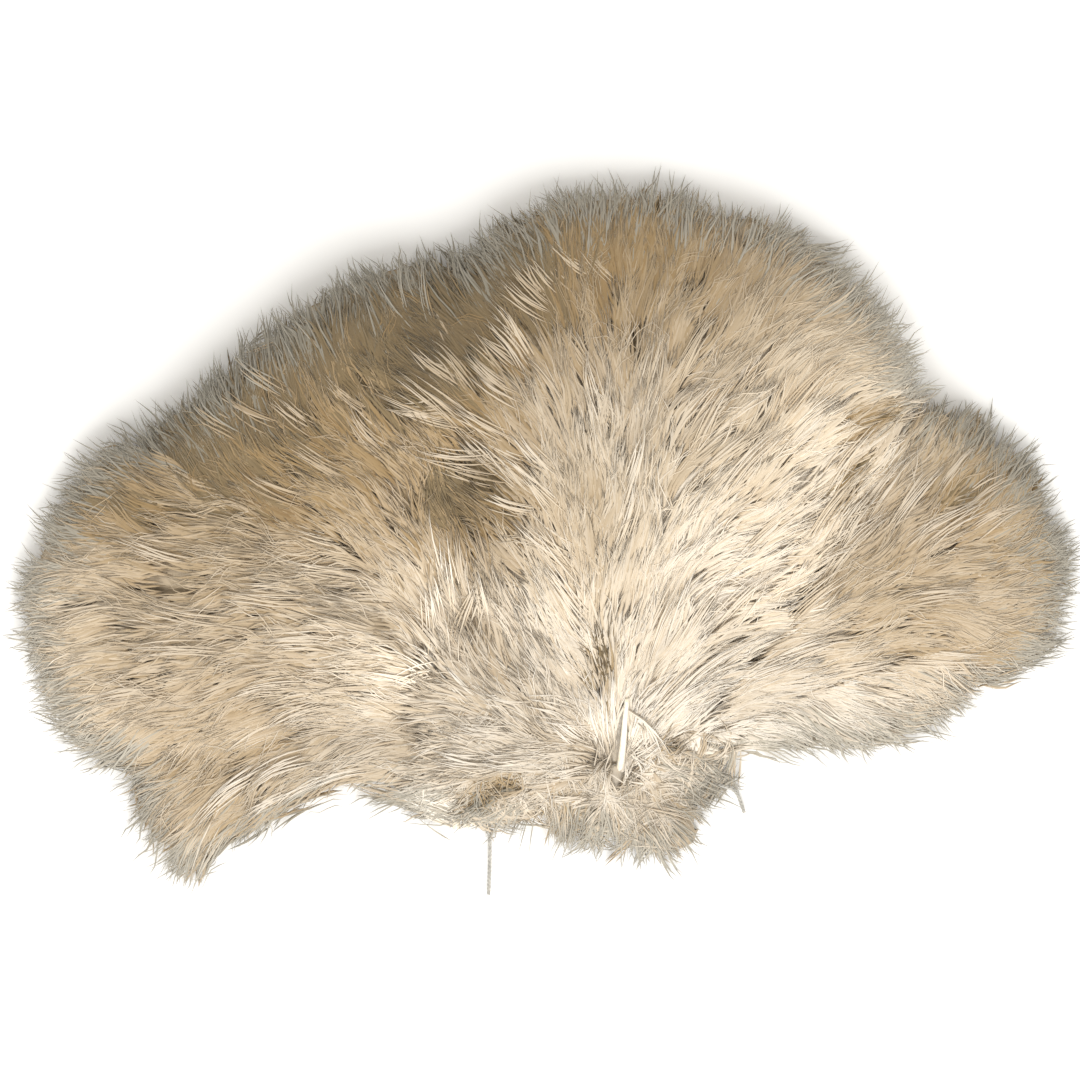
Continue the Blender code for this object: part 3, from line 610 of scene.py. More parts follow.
def layLocks(plume, coat, line, length):
    # barbs along every lock's line: their paths in mm, their radii, their locks and depths
    laying = layingSettings
    locks = len(line)
    lock = np.repeat(np.arange(locks), coat["perLock"])
    total = len(lock)
    u = np.linspace(0, 1, strandSettings["points"])[None, :]
    first = rng.uniform(0, laying["starts"], total)[:, None]
    final = rng.uniform(laying["ends"], 1.0, total)[:, None]
    place = along(line[lock], first + (final - first) * u)
    ahead = np.gradient(place, axis=1)
    ahead /= np.linalg.norm(ahead, axis=2, keepdims=True) + 1e-9
    beside = np.stack([-ahead[..., 1], ahead[..., 0]], axis=2)
    aside = rng.normal(0, 1, total)[:, None]
    gather = 1 - coat["gather"] * (first + (final - first) * u) ** 1.3
    phase = rng.uniform(0, 2 * np.pi, locks)[lock] + rng.normal(0, laying["phase"], total)
    turns = rng.uniform(*laying["turns"], locks)[lock] * coat["turns"]
    wave = coat["wave"] * np.sin(phase[:, None] + 2 * np.pi * turns[:, None] * u) * u
    bow = rng.normal(0, coat["bow"], total)[:, None] * u ** 2
    sway = aside * coat["spread"] * gather + wave + bow
    place = place + beside * sway[..., None]

    # on the plume itself, or over the next one where that is not a step up
    depth = (rng.uniform(0.2, 1, locks) * coat["sink"])[lock] * plume["ruffle"]
    height = readMap(plume["over"], place) - depthAt(place)
    others = readMap(topMap, place) - depthAt(place) + laying["over"]
    step = length[lock] / (strandSettings["points"] - 1)
    if coat is curlCoat:
        height = others
    nearRim = readMap(insideMap, place) < laying["rim"]
    fall = np.where(nearRim, laying["steep"], laying["gentle"])
    for k in range(1, height.shape[1]):
        before = height[:, k - 1]
        height[:, k] = np.maximum(height[:, k], before - fall[:, k] * step)
        climb = before + laying["climb"] * step
        resting = (others[:, k] > height[:, k]) & (others[:, k] < climb)
        height[:, k] = np.where(resting, others[:, k], height[:, k])
    crown = laying["crown"] * plume["ruffle"] * np.exp(-aside ** 2)
    lift = rng.uniform(*laying["lifts"], locks)[lock] * rng.uniform(*laying["liftEach"], total)
    rise = coat["lift"] * length[lock] * lift
    rise = rise if coat is pickedCoat else rise * plume["ruffle"]
    height = height + crown + rise[:, None] * u ** 1.3 - depth[:, None] * (1 - 0.8 * u)
    if "low" in coat:
        root = rng.uniform(laying["root"], coat["low"], total)
        root = np.minimum(root, 0.8 * height[:, 0])[:, None]
        height = root * (1 - u) ** 1.3 + rng.uniform(0, laying["tip"], total)[:, None] * u
    width = rng.uniform(*coat["width"], total)
    taper = np.sqrt(np.clip(u, 0, 0.3) / 0.3) * (1 - 0.82 * u ** 1.8)
    radius = 0.5 * width[:, None] * np.maximum(taper, laying["point"])
    height = np.maximum(height, radius + laying["floor"])
    return np.concatenate([place, height[..., None]], axis=2), radius, lock, depth


def nearPlace(spot, radius, where):
    # 1 in the middle of the spot, falling off evenly to 0 outside it
    away = (where[..., 0] - spot[0]) ** 2 + (where[..., 1] - spot[1]) ** 2
    return np.exp(-away / radius ** 2)


def depthAt(where):
    # how deep the hollows are under the plume's even surface
    return sum(down * nearPlace((x, y), radius, where) for x, y, radius, _, down in places)


toneSettings = {"drift": (0.06, 30, 11), "warmDrift": (0.15, 40, 17),
                "whiteAt": (20, -36), "whiteReach": 48, "white": 0.8}


def toneAt(plume, where):
    # how light the down is: nearly white at the foot, tan towards the tip and darker with painted
    # shade where a plume slopes away from the light; the places add painted shade and lighter patches
    foot, tip = np.array(plume["spine"][0]), np.array(plume["spine"][-1])
    way = np.linalg.norm(where - foot, axis=-1) / (1.15 * np.linalg.norm(tip - foot))
    tone = through(plume["tone"], way)[..., 0] + plume["lean"] * (where[..., 0] - foot[0]) / 100
    for x, y, radius, change, _ in places:
        tone = tone + change * nearPlace((x, y), radius, where)
    much, scale, seed = toneSettings["drift"]
    return tone + much * drift(where, scale, seed)


def warmAt(plume, where):
    # how brown the down is, less so round the quills
    x, y = toneSettings["whiteAt"]
    away = np.hypot(where[..., 0] - x, where[..., 1] - y) / toneSettings["whiteReach"]
    much, scale, seed = toneSettings["warmDrift"]
    warm = plume["warm"] + much * drift(where, scale, seed)
    return warm - toneSettings["white"] * np.clip(1 - away, 0, 1)


# Columns 0 to 3 of the card go from cream to tan. The painted shade of deeper locks: how much
# darker 1 mm deeper is; grey: the share of grey tips at the outline, painted shade of the loose
# fringe; rim: how far in they reach, in mm
cardSettings = {"columns": 6, "grey": 4, "shaded": 5, "shadedBelow": -0.05, "paintedDepthShade": 0.05,
                "greyShare": 1.1, "greyUnder": 0.6, "rim": 5, "margin": 0.04, "band": 0.02}


def swatch(plume, coat, path, lock, depth, lighter=None):
    # which colour of the swatch card a barb takes: its column, and its row from 0 dark to 1
    card = cardSettings
    locks = lock.max() + 1
    total = len(lock)
    middle, tip = path[:, path.shape[1] // 2, :2], path[:, -1, :2]
    tone = toneAt(plume, middle)
    tone = tone if lighter is None else 0.4 * tone + 0.6 * (0.4 + lighter)
    # painted shade: a lock whose root lies deeper is darker
    row = tone + coat["tone"] - card["paintedDepthShade"] * depth
    row = row + plume["ruffle"] * rng.normal(0, coat["vary"], locks)[lock]
    row = row + rng.normal(0, 0.02, total)
    warm = warmAt(plume, middle) + rng.normal(0, 0.05, locks)[lock]
    column = np.clip(warm * 4 + rng.uniform(-0.5, 0.5, total), 0, 3).astype(int)
    # the grey tips at the outline are painted shade of the loose fringe
    grey = np.clip(card["greyShare"] - readMap(insideMap, tip) / card["rim"], 0, 1)
    grey = grey * (card["greyUnder"] if "low" in coat else 1)
    shaded = row < card["shadedBelow"]
    column = np.where(shaded & (coat is not curlCoat), card["shaded"], column)
    column = np.where(rng.uniform(0, 1, total) < grey, card["grey"], column)
    # the rows of the shaded brown start lower, and the grey has only its lighter rows
    row = np.where(column == card["shaded"], row + 0.7,
                   np.where(column == card["grey"], 0.25 + 0.75 * row, row))
    return column, np.clip(row, 0.02, 0.97)


def strandMesh(name, path, radius, column, row, material):
    # joined barbs: each a closed, three-sided, flattened spindle with a point at both ends
    total, points, _ = path.shape
    tangent = np.gradient(path, axis=1)
    tangent /= np.linalg.norm(tangent, axis=2, keepdims=True) + 1e-9
    beside = np.cross(tangent, [0.0, 0.0, 1.0])
    beside /= np.linalg.norm(beside, axis=2, keepdims=True) + 1e-9
    above = np.cross(beside, tangent)
    rings = points - 2
    verts = np.empty((total, 3 * rings + 2, 3))
    verts[:, 0] = path[:, 0]
    verts[:, -1] = path[:, -1]
    for k in range(3):
        angle = math.radians(90 + 120 * k)
        turned = math.cos(angle) * beside + strandSettings["flat"] * math.sin(angle) * above
        verts[:, 1 + k:-1:3] = (path + turned * radius[..., None])[:, 1:-1]
    faces, places = [], []
    u = np.linspace(0, 1, points)
    for k in range(3):
        n = (k + 1) % 3
        low, high = k / 3, (k + 1) / 3
        faces.append((0, 1 + n, 1 + k))
        places.append(((u[0], (low + high) / 2), (u[1], high), (u[1], low)))
        for r in range(rings - 1):
            a, b = 1 + 3 * r, 4 + 3 * r
            faces.append((a + k, a + n, b + n))
            places.append(((u[r + 1], low), (u[r + 1], high), (u[r + 2], high)))
            faces.append((a + k, b + n, b + k))
            places.append(((u[r + 1], low), (u[r + 2], high), (u[r + 2], low)))
        a = 1 + 3 * (rings - 1)
        faces.append((a + k, a + n, 3 * rings + 1))
        places.append(((u[-2], low), (u[-2], high), (u[-1], (low + high) / 2)))
    faces, places = np.array(faces), np.array(places)
    offset = np.arange(total)[:, None, None] * verts.shape[1]
    allFaces = (faces[None] + offset).reshape(-1, 3)
    mesh = bpy.data.meshes.new(name)
    mesh.from_pydata((verts.reshape(-1, 3) * mm), [], allFaces)
    # the swatch card: a column and a place along the barb in u, light or dark in v
    card = np.empty((total, len(faces), 3, 2))
    margin, band = cardSettings["margin"], cardSettings["band"]
    card[..., 0] = column[:, None, None] + margin + 0.92 * places[None, ..., 0]
    card[..., 0] /= cardSettings["columns"]
    card[..., 1] = row[:, None, None] + band * (places[None, ..., 1] - 0.5)
    layer = mesh.uv_layers.new(name="OFBake")
    layer.uv.foreach_set("vector", card.reshape(-1).astype(np.float32))
    # smooth over the ridge of every barb, with its two side edges left sharp
    mesh.shade_smooth()
    ends = np.empty(2 * len(mesh.edges), np.int32)
    mesh.edges.foreach_get("vertices", ends)
    ends = np.sort(ends.reshape(-1, 2) % verts.shape[1], axis=1)
    lengthwise = (ends[:, 1] - ends[:, 0] == 3) & (ends[:, 0] > 0)
    side = lengthwise & (ends[:, 0] % 3 != 1)
    mesh.attributes.new("sharp_edge", "BOOLEAN", "EDGE").data.foreach_set("value", side)
    mesh.materials.append(material)
    return addPiece(name, mesh)


def addPiece(name, mesh):
    piece = bpy.data.objects.new(name, mesh)
    bpy.context.scene.collection.objects.link(piece)
    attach(piece, "root")
    return piece


def grainAt(place, cell, seed):
    # even noise in cells of the given size, from about -1 to 1
    noise = np.random.default_rng(seed).normal(0, 1, (256, 256))
    at = place / cell
    k = np.floor(at).astype(int)
    u, v = np.moveaxis(at - k, -1, 0)
    j, i = k[..., 0] % 255, k[..., 1] % 255
    low = noise[i, j] * (1 - u) + noise[i, j + 1] * u
    high = noise[i + 1, j] * (1 - u) + noise[i + 1, j + 1] * u
    return low * (1 - v) + high * v


# The mass of down. inset: how far in from the outline it stays, and pull: how much of the way
# it is moved in; below: how far under the barbs it lies; sink: how far its edges lie under
# the down beside them; reach: how far grain is drawn out; fine and broad: the cell, height and
# tone of the grain, its tone painted light on the grain's ridges and painted shade in its
# grooves; edge: the share of its width that sinks; round: over how many mm it
# rounds off to the floor, and how; foot: how far the foot reaches on to the knot
coreSettings = {"cells": (180, 220), "inset": 7.0, "pull": 0.5, "below": 0.5, "sink": 0.9,
                "reach": 11, "fine": (0.7, 0.14, 0.03), "broad": (2.0, 0.26, 0.05),
                "edge": 0.1, "round": (9, 0.8), "lowest": 0.8, "foot": (3.2, 0.06)}


def combedLines(plume, where, reach):
    # for every place, a row of places ahead and behind it along the combed direction
    still = np.zeros(len(where))
    ahead = comb(plume, where, still + reach, still)
    behind = comb(plume, where, still - reach, still)
    return np.concatenate([behind[:, :0:-1], ahead], axis=1)


def drawnGrain(lines, cell, seed):
    # noise drawn out along the barbs, so that it reads as combed down
    value = grainAt(lines, cell, seed).mean(axis=1)
    return np.clip(value / value.std(), -2, 2)


def drawnIn(place):
    # the place moved in from the tuft's outline, so that only loose barbs reach the outline
    inside = readMap(insideMap, place)
    inset = coreSettings["inset"] * (1 + 0.35 * drift(place, 9, 31))
    pull = coreSettings["pull"] * np.clip(inset - inside, 0, None)
    slope = np.stack([readMap(slopeMaps[1], place), readMap(slopeMaps[0], place)], axis=-1)
    slope /= np.linalg.norm(slope, axis=-1, keepdims=True) + 0.05
    return place + slope * pull[:, None]


def makeCore(name, plume, material):
    # the soft mass of down that the barbs lie in, combed the way they lie
    core = coreSettings
    fine = math.sqrt(plume["share"] / plumes["plume_centre"]["share"])
    across, onward = (int(cells * fine) for cells in core["cells"])
    bm = bmesh.new()
    bmesh.ops.create_grid(bm, x_segments=across, y_segments=onward, size=1.0)
    grid = np.array([vert.co[:2] for vert in bm.verts])
    t = 0.01 + 0.98 * (grid[:, 1] + 1) / 2
    surface = onPlume(plume, t, grid[:, 0] * (1.03 - 0.04 * t))
    plan = surface[:, :2]
    lines = combedLines(plume, plan, core["reach"])
    cell, fineHeight, fineRidgeShade = core["fine"]
    fineGrain = drawnGrain(lines[:, 3:-3], cell, 21)
    cell, broadHeight, broadRidgeShade = core["broad"]
    broadGrain = drawnGrain(lines, cell, 22)
    fade = np.clip((1 - np.abs(grid[:, 0])) / core["edge"], 0, 1)
    relief = (fineHeight * fineGrain + broadHeight * broadGrain) * fade
    height = surface[:, 2] + readMap(plume["pushed"], plan) - depthAt(plan)
    height = height - core["below"] + relief
    # the edges sink into the down beside them, and round off to the floor at the outline
    beside = readMap(topMap, plan) - depthAt(plan) - core["sink"]
    height = fade * height + (1 - fade) * np.minimum(height, beside)
    width, power = core["round"]
    height *= np.clip(readMap(insideMap, plan) / width, 0, 1) ** power
    surface[:, 2] = np.maximum(height, core["lowest"])
    surface[:, :2] = drawnIn(plan)
    # the foot reaches on to the knot, so that no gap is left between the plumes there
    footWay = np.array(plume["spine"][0], float) - plume["spine"][1]
    footWay /= np.linalg.norm(footWay)
    reach, share = core["foot"]
    surface[:, :2] += footWay * reach * np.clip(1 - t / share, 0, 1)[:, None]
    # painted light and shade: where the grain raises the down it is lighter, where it dips darker
    tone = toneAt(plume, plan) + fineRidgeShade * fineGrain + broadRidgeShade * broadGrain
    warm = warmAt(plume, plan)
    top = list(bm.verts)
    under = bmesh.ops.duplicate(bm, geom=bm.faces)["geom"]
    underFaces = [part for part in under if isinstance(part, bmesh.types.BMFace)]
    bmesh.ops.reverse_faces(bm, faces=underFaces)
    low = [part for part in under if isinstance(part, bmesh.types.BMVert)]
    for vert, place in zip(top, surface):
        vert.co = place * mm
    for vert, place in zip(low, surface):
        vert.co = (place[0] * mm, place[1] * mm, 0.3 * mm)
    rims = [edge for edge in bm.edges if edge.is_boundary]
    bmesh.ops.bridge_loops(bm, edges=rims)
    mesh = bpy.data.meshes.new(name)
    bm.to_mesh(mesh)
    bm.free()
    # the tone is stored from 0 to 1, where it runs from -0.5 to 1; below 0 it is painted shade
    for title, values in (("tone", (tone + 0.5) / 1.5), ("warm", warm)):
        filled = np.concatenate([values, values]).astype(np.float32)
        mesh.attributes.new(title, "FLOAT", "POINT").data.foreach_set("value", filled)
    mesh.shade_smooth()
    mesh.materials.append(material)
    piece = addPiece(name, mesh)
    return piece


# Shafts and thread

def makeTube(name, line, radii, material, sides=12):
    # a round rod along the line, in mm: a ring of vertices carried from point to point
    line = [Vector(point) for point in line]
    bm = bmesh.new()
    rings = []
    for k, (point, radius) in enumerate(zip(line, radii)):
        ahead = (line[min(k + 1, len(line) - 1)] - line[max(k - 1, 0)]).normalized()
        turn = ahead.to_track_quat("Z", "Y").to_matrix().to_4x4()
        turn.translation = point
        ring = bmesh.ops.create_circle(bm, segments=sides, radius=radius, matrix=turn)["verts"]
        rings.append(ring)
    for below, above in zip(rings, rings[1:]):
        edges = {edge for vert in below + above for edge in vert.link_edges
                 if len(edge.link_faces) < 2 and set(edge.verts) <= set(below)
                 or set(edge.verts) <= set(above)}
        bmesh.ops.bridge_loops(bm, edges=list(edges))
    for ring in (rings[0], rings[-1]):
        bmesh.ops.contextual_create(bm, geom=ring)
    bmesh.ops.scale(bm, vec=(mm, mm, mm), verts=bm.verts)
    bmesh.ops.recalc_face_normals(bm, faces=bm.faces)
    mesh = bpy.data.meshes.new(name)
    bm.to_mesh(mesh)
    bm.free()
    mesh.shade_smooth()
    mesh.materials.append(material)
    piece = addPiece(name, mesh)
    return piece


# The thread's route in mm, its loops round the quills as centre, half width, half height and
# heading in degrees, and its twisted plies.
threadSettings = {
    "route": [
        (-11.2, -72, 0.6), (-11.0, -66, 0.6), (-11.0, -60.4, 1.0), (-11.6, -56.4, 2.2),
        (-6, -55.6, 1.6), (2, -54.6, 3.0), (7.6, -52.6, 6.4), (12.2, -51.4, 9.9),
        (17.8, -50.2, 7.8), (22.2, -47.4, 3.6), (24.6, -45.4, 3.6), (28.6, -46.4, 2.4),
        (34, -49.4, 1.0), (38.6, -51, 0.6), (40.6, -55.4, 0.6)],
    "loops": [((-15.8, -55.6, 2.25), 3.9, 1.75, 96), ((-15.8, -54.6, 2.25), 3.9, 1.75, 96),
              ((12.1, -51.2, 7.05), 3.5, 2.9, 78), ((26.5, -45.2, 2.25), 2.9, 1.75, 62)],
    "plies": 3, "plyRadius": 0.19, "layRadius": 0.2, "layLength": 2.4, "loopShare": 0.97,
}


def layPlies(name, line, material):
    # three plies twisted round the line, each a round rod
    line = np.array(line)
    run = np.concatenate([[0], np.cumsum(np.linalg.norm(np.diff(line, axis=0), axis=1))])
    count = int(run[-1] / 0.3)
    even = np.linspace(0, run[-1], count)
    centre = np.stack([np.interp(even, run, line[:, k]) for k in range(3)], axis=1)
    ahead = np.gradient(centre, axis=0)
    ahead /= np.linalg.norm(ahead, axis=1, keepdims=True)
    beside = np.cross(ahead, [0.03, 0.02, 1.0])
    beside /= np.linalg.norm(beside, axis=1, keepdims=True)
    above = np.cross(beside, ahead)
    for ply in range(threadSettings["plies"]):
        angle = 2 * np.pi * (even / threadSettings["layLength"] + ply / threadSettings["plies"])
        place = centre + threadSettings["layRadius"] * (np.cos(angle)[:, None] * beside
                                                        + np.sin(angle)[:, None] * above)
        radii = [threadSettings["plyRadius"]] * count
        yield makeTube(f"{name}_ply_{ply + 1}", place, radii, material, 6)


# Materials

def linear(hexCode):
    parts = [int(hexCode[k:k + 2], 16) / 255 for k in (1, 3, 5)]
    return tuple(c / 12.92 if c < 0.04045 else ((c + 0.055) / 1.055) ** 2.4 for c in parts) + (1,)


def addNode(tree, kind, settings=None, links=None):
    # a node with its settings, and its inputs linked from other nodes' outputs
    node = tree.nodes.new(kind)
    for name, value in (settings or {}).items():
        if name == "stops":
            ramp = node.color_ramp.elements
            while len(ramp) < len(value):
                ramp.new(0.5)
            for element, (place, colour) in zip(ramp, value):
                element.position = place
                element.color = linear(colour)
        elif name == "interpolation":
            node.color_ramp.interpolation = value
        elif isinstance(name, str) and hasattr(node, name):
            setattr(node, name, value)
        else:
            node.inputs[name].default_value = value
    for name, source in (links or {}).items():
        tree.links.new(source, node.inputs[name])
    return node


def newMaterial(name, settings):
    material = bpy.data.materials.new(name)
    material.use_nodes = True
    surface = material.node_tree.nodes["Principled BSDF"]
    for socket, value in settings.items():
        surface.inputs[socket].default_value = value
    return material, material.node_tree, surface


def makeDown():
    # marabou down: keratin barbs with fine barbules, so matt and soft, with a pale sheen;
    # columns of the swatch card go from cream to tan, then the grey rim and the shaded brown, both
    # painted shade; the darker rows carry painted shade as well as the down's own tan
    material, tree, surface = newMaterial("marabouDown", {
        "Roughness": 0.72, "Specular IOR Level": 0.25, "Sheen Weight": 0.25,
        "Sheen Roughness": 0.5, "Sheen Tint": linear("#FFF6E6")})
    card = addNode(tree, "ShaderNodeUVMap", {"uv_map": "OFBake"})
    parts = addNode(tree, "ShaderNodeSeparateXYZ", links={0: card.outputs[0]})
    dark = addNode(tree, "ShaderNodeValToRGB", {"interpolation": "CONSTANT", "stops": [
        (0.0, "#A69272"), (0.167, "#A08A68"), (0.333, "#947D58"), (0.5, "#86704E"),
        (0.667, "#8B877C"), (0.833, "#4C4030")]},
        {0: parts.outputs[0]})
    light = addNode(tree, "ShaderNodeValToRGB", {"interpolation": "CONSTANT", "stops": [
        (0.0, "#FFFDF8"), (0.167, "#FDF7EC"), (0.333, "#F9EFDE"), (0.5, "#F2E3CC"),
        (0.667, "#CCC7BC"), (0.833, "#9A8867")]},
        {0: parts.outputs[0]})
    mixed = addNode(tree, "ShaderNodeMix", {"data_type": "RGBA"}, {
        0: parts.outputs[1], 6: dark.outputs[0], 7: light.outputs[0]})
    column = addNode(tree, "ShaderNodeMath", {"operation": "MULTIPLY", 1: 6.0},
                     {0: parts.outputs[0]})
    along = addNode(tree, "ShaderNodeMath", {"operation": "FRACT"}, {0: column.outputs[0]})
    tipping = addNode(tree, "ShaderNodeValToRGB", {"stops": [
        (0.0, "#E2D8CA"), (0.3, "#F5F0E8"), (1.0, "#FFFFFF")]}, {0: along.outputs[0]})
    shaded = addNode(tree, "ShaderNodeMix", {"data_type": "RGBA", "blend_type": "MULTIPLY",
                                             0: 1.0},
                     {6: mixed.outputs[2], 7: tipping.outputs[0]})
    tree.links.new(shaded.outputs[2], surface.inputs["Base Color"])
    return material


def makeMattedDown():
    # the felted under-down: the same keratin, so fine that it reads as a soft matt mass; its darkest
    # brown is painted shade
    material, tree, surface = newMaterial("mattedDown", {
        "Roughness": 0.9, "Specular IOR Level": 0.1, "Sheen Weight": 0.3,
        "Sheen Roughness": 0.6, "Sheen Tint": linear("#FFF6E6")})
    where = addNode(tree, "ShaderNodeTexCoord")
    tone = addNode(tree, "ShaderNodeAttribute", {"attribute_name": "tone"})
    warm = addNode(tree, "ShaderNodeAttribute", {"attribute_name": "warm"})
    fluff = addNode(tree, "ShaderNodeTexNoise", {"Scale": 1 / (1.6 * mm), "Detail": 6.0,
                                                 "Roughness": 0.65},
                    {"Vector": where.outputs["Object"]})
    cream = addNode(tree, "ShaderNodeValToRGB", {"stops": [
        (0.0, "#4C4030"), (0.33, "#A69272"), (1.0, "#FFFCF6")]}, {0: tone.outputs["Fac"]})
    tan = addNode(tree, "ShaderNodeValToRGB", {"stops": [
        (0.0, "#4C4030"), (0.33, "#8A7350"), (1.0, "#F4E6D0")]}, {0: tone.outputs["Fac"]})
    mixed = addNode(tree, "ShaderNodeMix", {"data_type": "RGBA"}, {
        0: warm.outputs["Fac"], 6: cream.outputs[0], 7: tan.outputs[0]})
    bump = addNode(tree, "ShaderNodeBump", {"Strength": 0.35, "Distance": 0.3 * mm},
                   {"Height": fluff.outputs[0]})
    tree.links.new(mixed.outputs[2], surface.inputs["Base Color"])
    tree.links.new(bump.outputs[0], surface.inputs["Normal"])
    return material


def makeQuill():
    # quill keratin: ivory, smooth and a little waxy, with faint lengthwise streaks
    material, tree, surface = newMaterial("quillKeratin", {
        "Roughness": 0.42, "IOR": 1.54, "Specular IOR Level": 0.5})
    where = addNode(tree, "ShaderNodeTexCoord")
    streaks = addNode(tree, "ShaderNodeMapping", {"Scale": (1 / (0.5 * mm), 1 / (6 * mm),
                                                            1 / (0.5 * mm))},
                      {0: where.outputs["Object"]})
    noise = addNode(tree, "ShaderNodeTexNoise", {"Scale": 1.0, "Detail": 3.0},
                    {"Vector": streaks.outputs[0]})
    colour = addNode(tree, "ShaderNodeValToRGB", {"stops": [
        (0.3, "#E4D8C0"), (0.7, "#F7F1E4")]}, {0: noise.outputs[0]})
    tree.links.new(colour.outputs[0], surface.inputs["Base Color"])
    return material


def makeCotton():
    # spun cotton thread: matt, fuzzy, greyed by handling
    material, tree, surface = newMaterial("spunCotton", {
        "Roughness": 0.9, "Specular IOR Level": 0.2, "Sheen Weight": 0.3})
    where = addNode(tree, "ShaderNodeTexCoord")
    noise = addNode(tree, "ShaderNodeTexNoise", {"Scale": 1 / (0.6 * mm), "Detail": 4.0},
                    {"Vector": where.outputs["Object"]})
    colour = addNode(tree, "ShaderNodeValToRGB", {"stops": [
        (0.3, "#9C9A94"), (0.7, "#CFCBC2")]}, {0: noise.outputs[0]})
    bump = addNode(tree, "ShaderNodeBump", {"Strength": 0.5, "Distance": 0.1 * mm},
                   {"Height": noise.outputs[0]})
    tree.links.new(colour.outputs[0], surface.inputs["Base Color"])
    tree.links.new(bump.outputs[0], surface.inputs["Normal"])
    return material


def makeFloor():
    # a white paper sweep
    material, tree, surface = newMaterial("paperFloor", {"Roughness": 0.9})
    where = addNode(tree, "ShaderNodeTexCoord")
    noise = addNode(tree, "ShaderNodeTexNoise", {"Scale": 40.0}, {"Vector": where.outputs[3]})
    colour = addNode(tree, "ShaderNodeValToRGB", {"stops": [
        (0.0, "#F6F6F5"), (1.0, "#FAFAF9")]}, {0: noise.outputs[0]})
    tree.links.new(colour.outputs[0], surface.inputs["Base Color"])
    return material


down, matted, quillHorn, cotton = makeDown(), makeMattedDown(), makeQuill(), makeCotton()
print("materials made")

for plume in plumes.values():
    plume["map"] = heightMap(plume)
for node, plume in plumes.items():
    others = np.max([other["map"] for name, other in plumes.items() if name != node], axis=0)
    plume["pushed"] = skirt(plume, others)
for plume in plumes.values():
    plume["map"] = plume["map"] + plume["pushed"]
topMap = np.max([plume["map"] for plume in plumes.values()], axis=0)
filled = bridged(topMap, mapSettings["groove"])
for plume in plumes.values():
    # the down of both plumes swells to fill the narrow groove between them
    seen = (plume["map"] > 0) & (plume["map"] > topMap - 2)
    groove = np.clip(filled - plume["map"], 0, mapSettings["swell"])
    swell = evened(np.where(seen, groove, 0))
    plume["pushed"] = plume["pushed"] + swell
    plume["map"] = plume["map"] + swell
for node, plume in plumes.items():
    others = [other["map"] for name, other in plumes.items() if name != node]
    plume["others"] = np.max(others, axis=0)
topMap = np.max([plume["map"] for plume in plumes.values()], axis=0)
join = mapSettings["join"]
tuft = awayFrom(awayFrom(topMap > 0) > join) > join  # with the narrow joins of plumes closed
topMap = bridged(topMap, join)
for plume in plumes.values():
    plume["over"] = np.minimum(widened(plume["map"], 2, np.maximum), topMap)
outsideMap, insideMap = awayFrom(tuft), awayFrom(~tuft)
outsideMap = outsideMap - insideMap
slopeMaps = np.gradient(insideMap - np.maximum(outsideMap, 0))
print("height maps ready")

bareQuill = through(plumes["plume_centre"]["quill"], np.linspace(0.3, 1, 30))
for node, plume in plumes.items():
    core = makeCore(node + "_under_down", plume, matted)
    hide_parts(node)
    grown = []
    for coat in coats.values():
        count = int(strandSettings["total"] * plume["share"] * coat["part"])
        path, radius, lock, depth = growCoat(plume, coat, count)
        column, row = swatch(plume, coat, path, lock, depth)
        grown.append((path, radius, column, row))
    (path, radius, lock, depth), lighter = growPicked(plume)
    column, row = swatch(plume, pickedCoat, path, lock, depth, lighter[lock])
    grown.append((path, radius, column, row))
    if plume["curls"]:
        path, radius, lock, depth = growCurls(plume)
        # curls whose tips would hang out are left off, but fewer of the afterfeather's
        hangs = 5 if node == "plume_bottom" else 0
        kept = readMap(outsideMap, path[:, -1]) < rng.uniform(-1, 2, len(path)) + hangs
        path, radius, lock, depth = path[kept], radius[kept], lock[kept], depth[kept]
        column, row = swatch(plume, curlCoat, path, lock, depth)
        grown.append((path, radius, column, row))
    path, radius, column, row = (np.concatenate(part) for part in zip(*grown))
    trianglesEach = 6 * (strandSettings["points"] - 2)
    perPiece = strandSettings["mostTriangles"] // trianglesEach
    # no barb lies over the bare quill that the tuft shows
    away = np.linalg.norm(path[:, :, None, :2] - bareQuill[None, None, :, :2], axis=-1)
    clear = away.min(axis=(1, 2)) > strandSettings["clearOfQuill"]
    path, radius, column, row = (part[clear] for part in (path, radius, column, row))
    pieces = math.ceil(len(path) / perPiece)
    for k in range(pieces):
        some = slice(k, None, pieces)
        barbs = strandMesh(f"{node}_barbs_{k + 1}", path[some], radius[some], column[some],
                           row[some], down)
    steps = np.linspace(0, 1, 9)
    rod = through(plume["quill"], steps)
    if node == "plume_centre":
        # the quill that shows runs on over the down, up to where the barbs close over it
        rod[:, :2] += (rod[:, :2] - rod[0, :2]) * 0.2
        rod[:, 2] = np.maximum(rod[:, 2], readMap(plume["map"], rod[:, :2]) + 0.4)
        rod[:, 3] *= np.linspace(1, 0.6, len(rod))
    makeTube(node + "_shaft", rod[:, :3], rod[:, 3], quillHorn)
    print(node, len(path), "barbs in", pieces, "pieces")

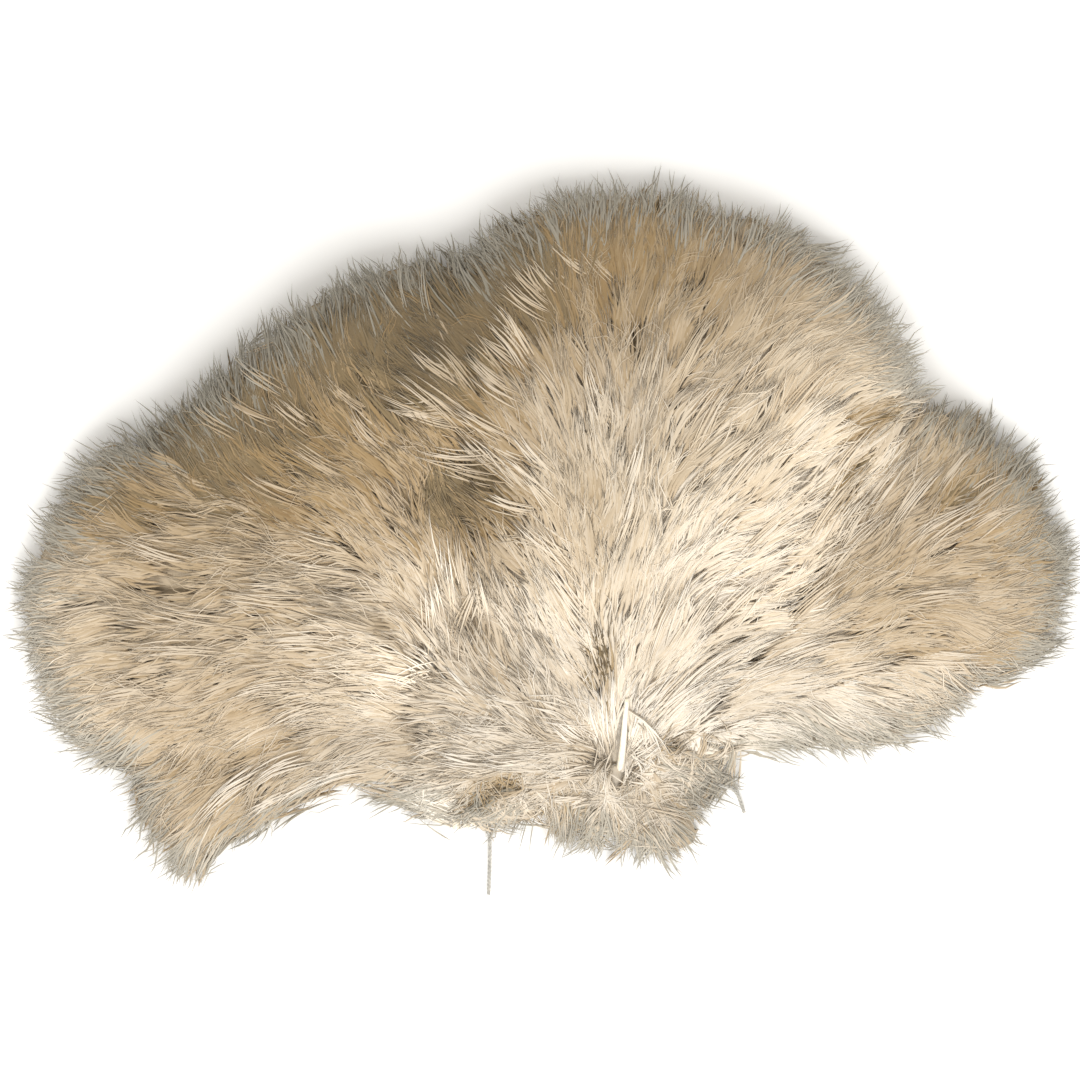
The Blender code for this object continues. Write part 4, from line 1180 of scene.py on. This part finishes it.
route = through(threadSettings["route"], np.linspace(0, 1, 200))
plies = list(layPlies("thread_run", route, cotton))
for k, (centre, wide, high, heading) in enumerate(threadSettings["loops"]):
    across = np.array([math.sin(math.radians(heading)), -math.cos(math.radians(heading)), 0])
    turns = np.linspace(0, 2 * np.pi * threadSettings["loopShare"], 60)[:, None]
    up = np.array([0, 0, 1])
    ring = np.array(centre) + across * wide * np.cos(turns) + up * high * np.sin(turns)
    plies += layPlies(f"thread_loop_{k + 1}", ring, cotton)
for ply in plies:
    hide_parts("stringing_thread")
print("thread laid")

# Floor, light and camera

floorMesh = bpy.data.meshes.new("floor")
bm = bmesh.new()
bmesh.ops.create_grid(bm, x_segments=1, y_segments=1, size=3.0)
bmesh.ops.translate(bm, vec=(0, 0, -0.0003), verts=bm.verts)
bm.to_mesh(floorMesh)
bm.free()
floorMesh.materials.append(makeFloor())
floor = bpy.data.objects.new("floor", floorMesh)
bpy.context.scene.collection.objects.link(floor)

lightSettings = {"sun": 2.75, "sunSize": 45, "sunFrom": (0.1, -1.0, 1.0), "sky": 0.9}
sun = bpy.data.lights.new("key", "SUN")
sun.energy = lightSettings["sun"]
sun.angle = math.radians(lightSettings["sunSize"])
sun.color = (1.0, 0.995, 0.985)
key = bpy.data.objects.new("key", sun)
key.rotation_euler = Vector(lightSettings["sunFrom"]).to_track_quat("Z", "Y").to_euler()
bpy.context.scene.collection.objects.link(key)
world = bpy.data.worlds.new("sky")
world.use_nodes = True
world.node_tree.nodes["Background"].inputs[0].default_value = (1.0, 0.972, 0.925, 1)
world.node_tree.nodes["Background"].inputs[1].default_value = lightSettings["sky"]
bpy.context.scene.world = world
bpy.context.scene.view_settings.view_transform = "Standard"

cameraSettings = {"height": 0.76, "seen": 0.216, "over": (-0.0008, -0.0002), "level": 0.01}
lens = bpy.data.cameras.new("camera")
lens.sensor_width = 36
lens.lens = 36 * (cameraSettings["height"] - cameraSettings["level"]) / cameraSettings["seen"]
camera = bpy.data.objects.new("camera", lens)
camera.location = (*cameraSettings["over"], cameraSettings["height"])
bpy.context.scene.collection.objects.link(camera)
bpy.context.scene.camera = camera

bpy.context.view_layer.update()
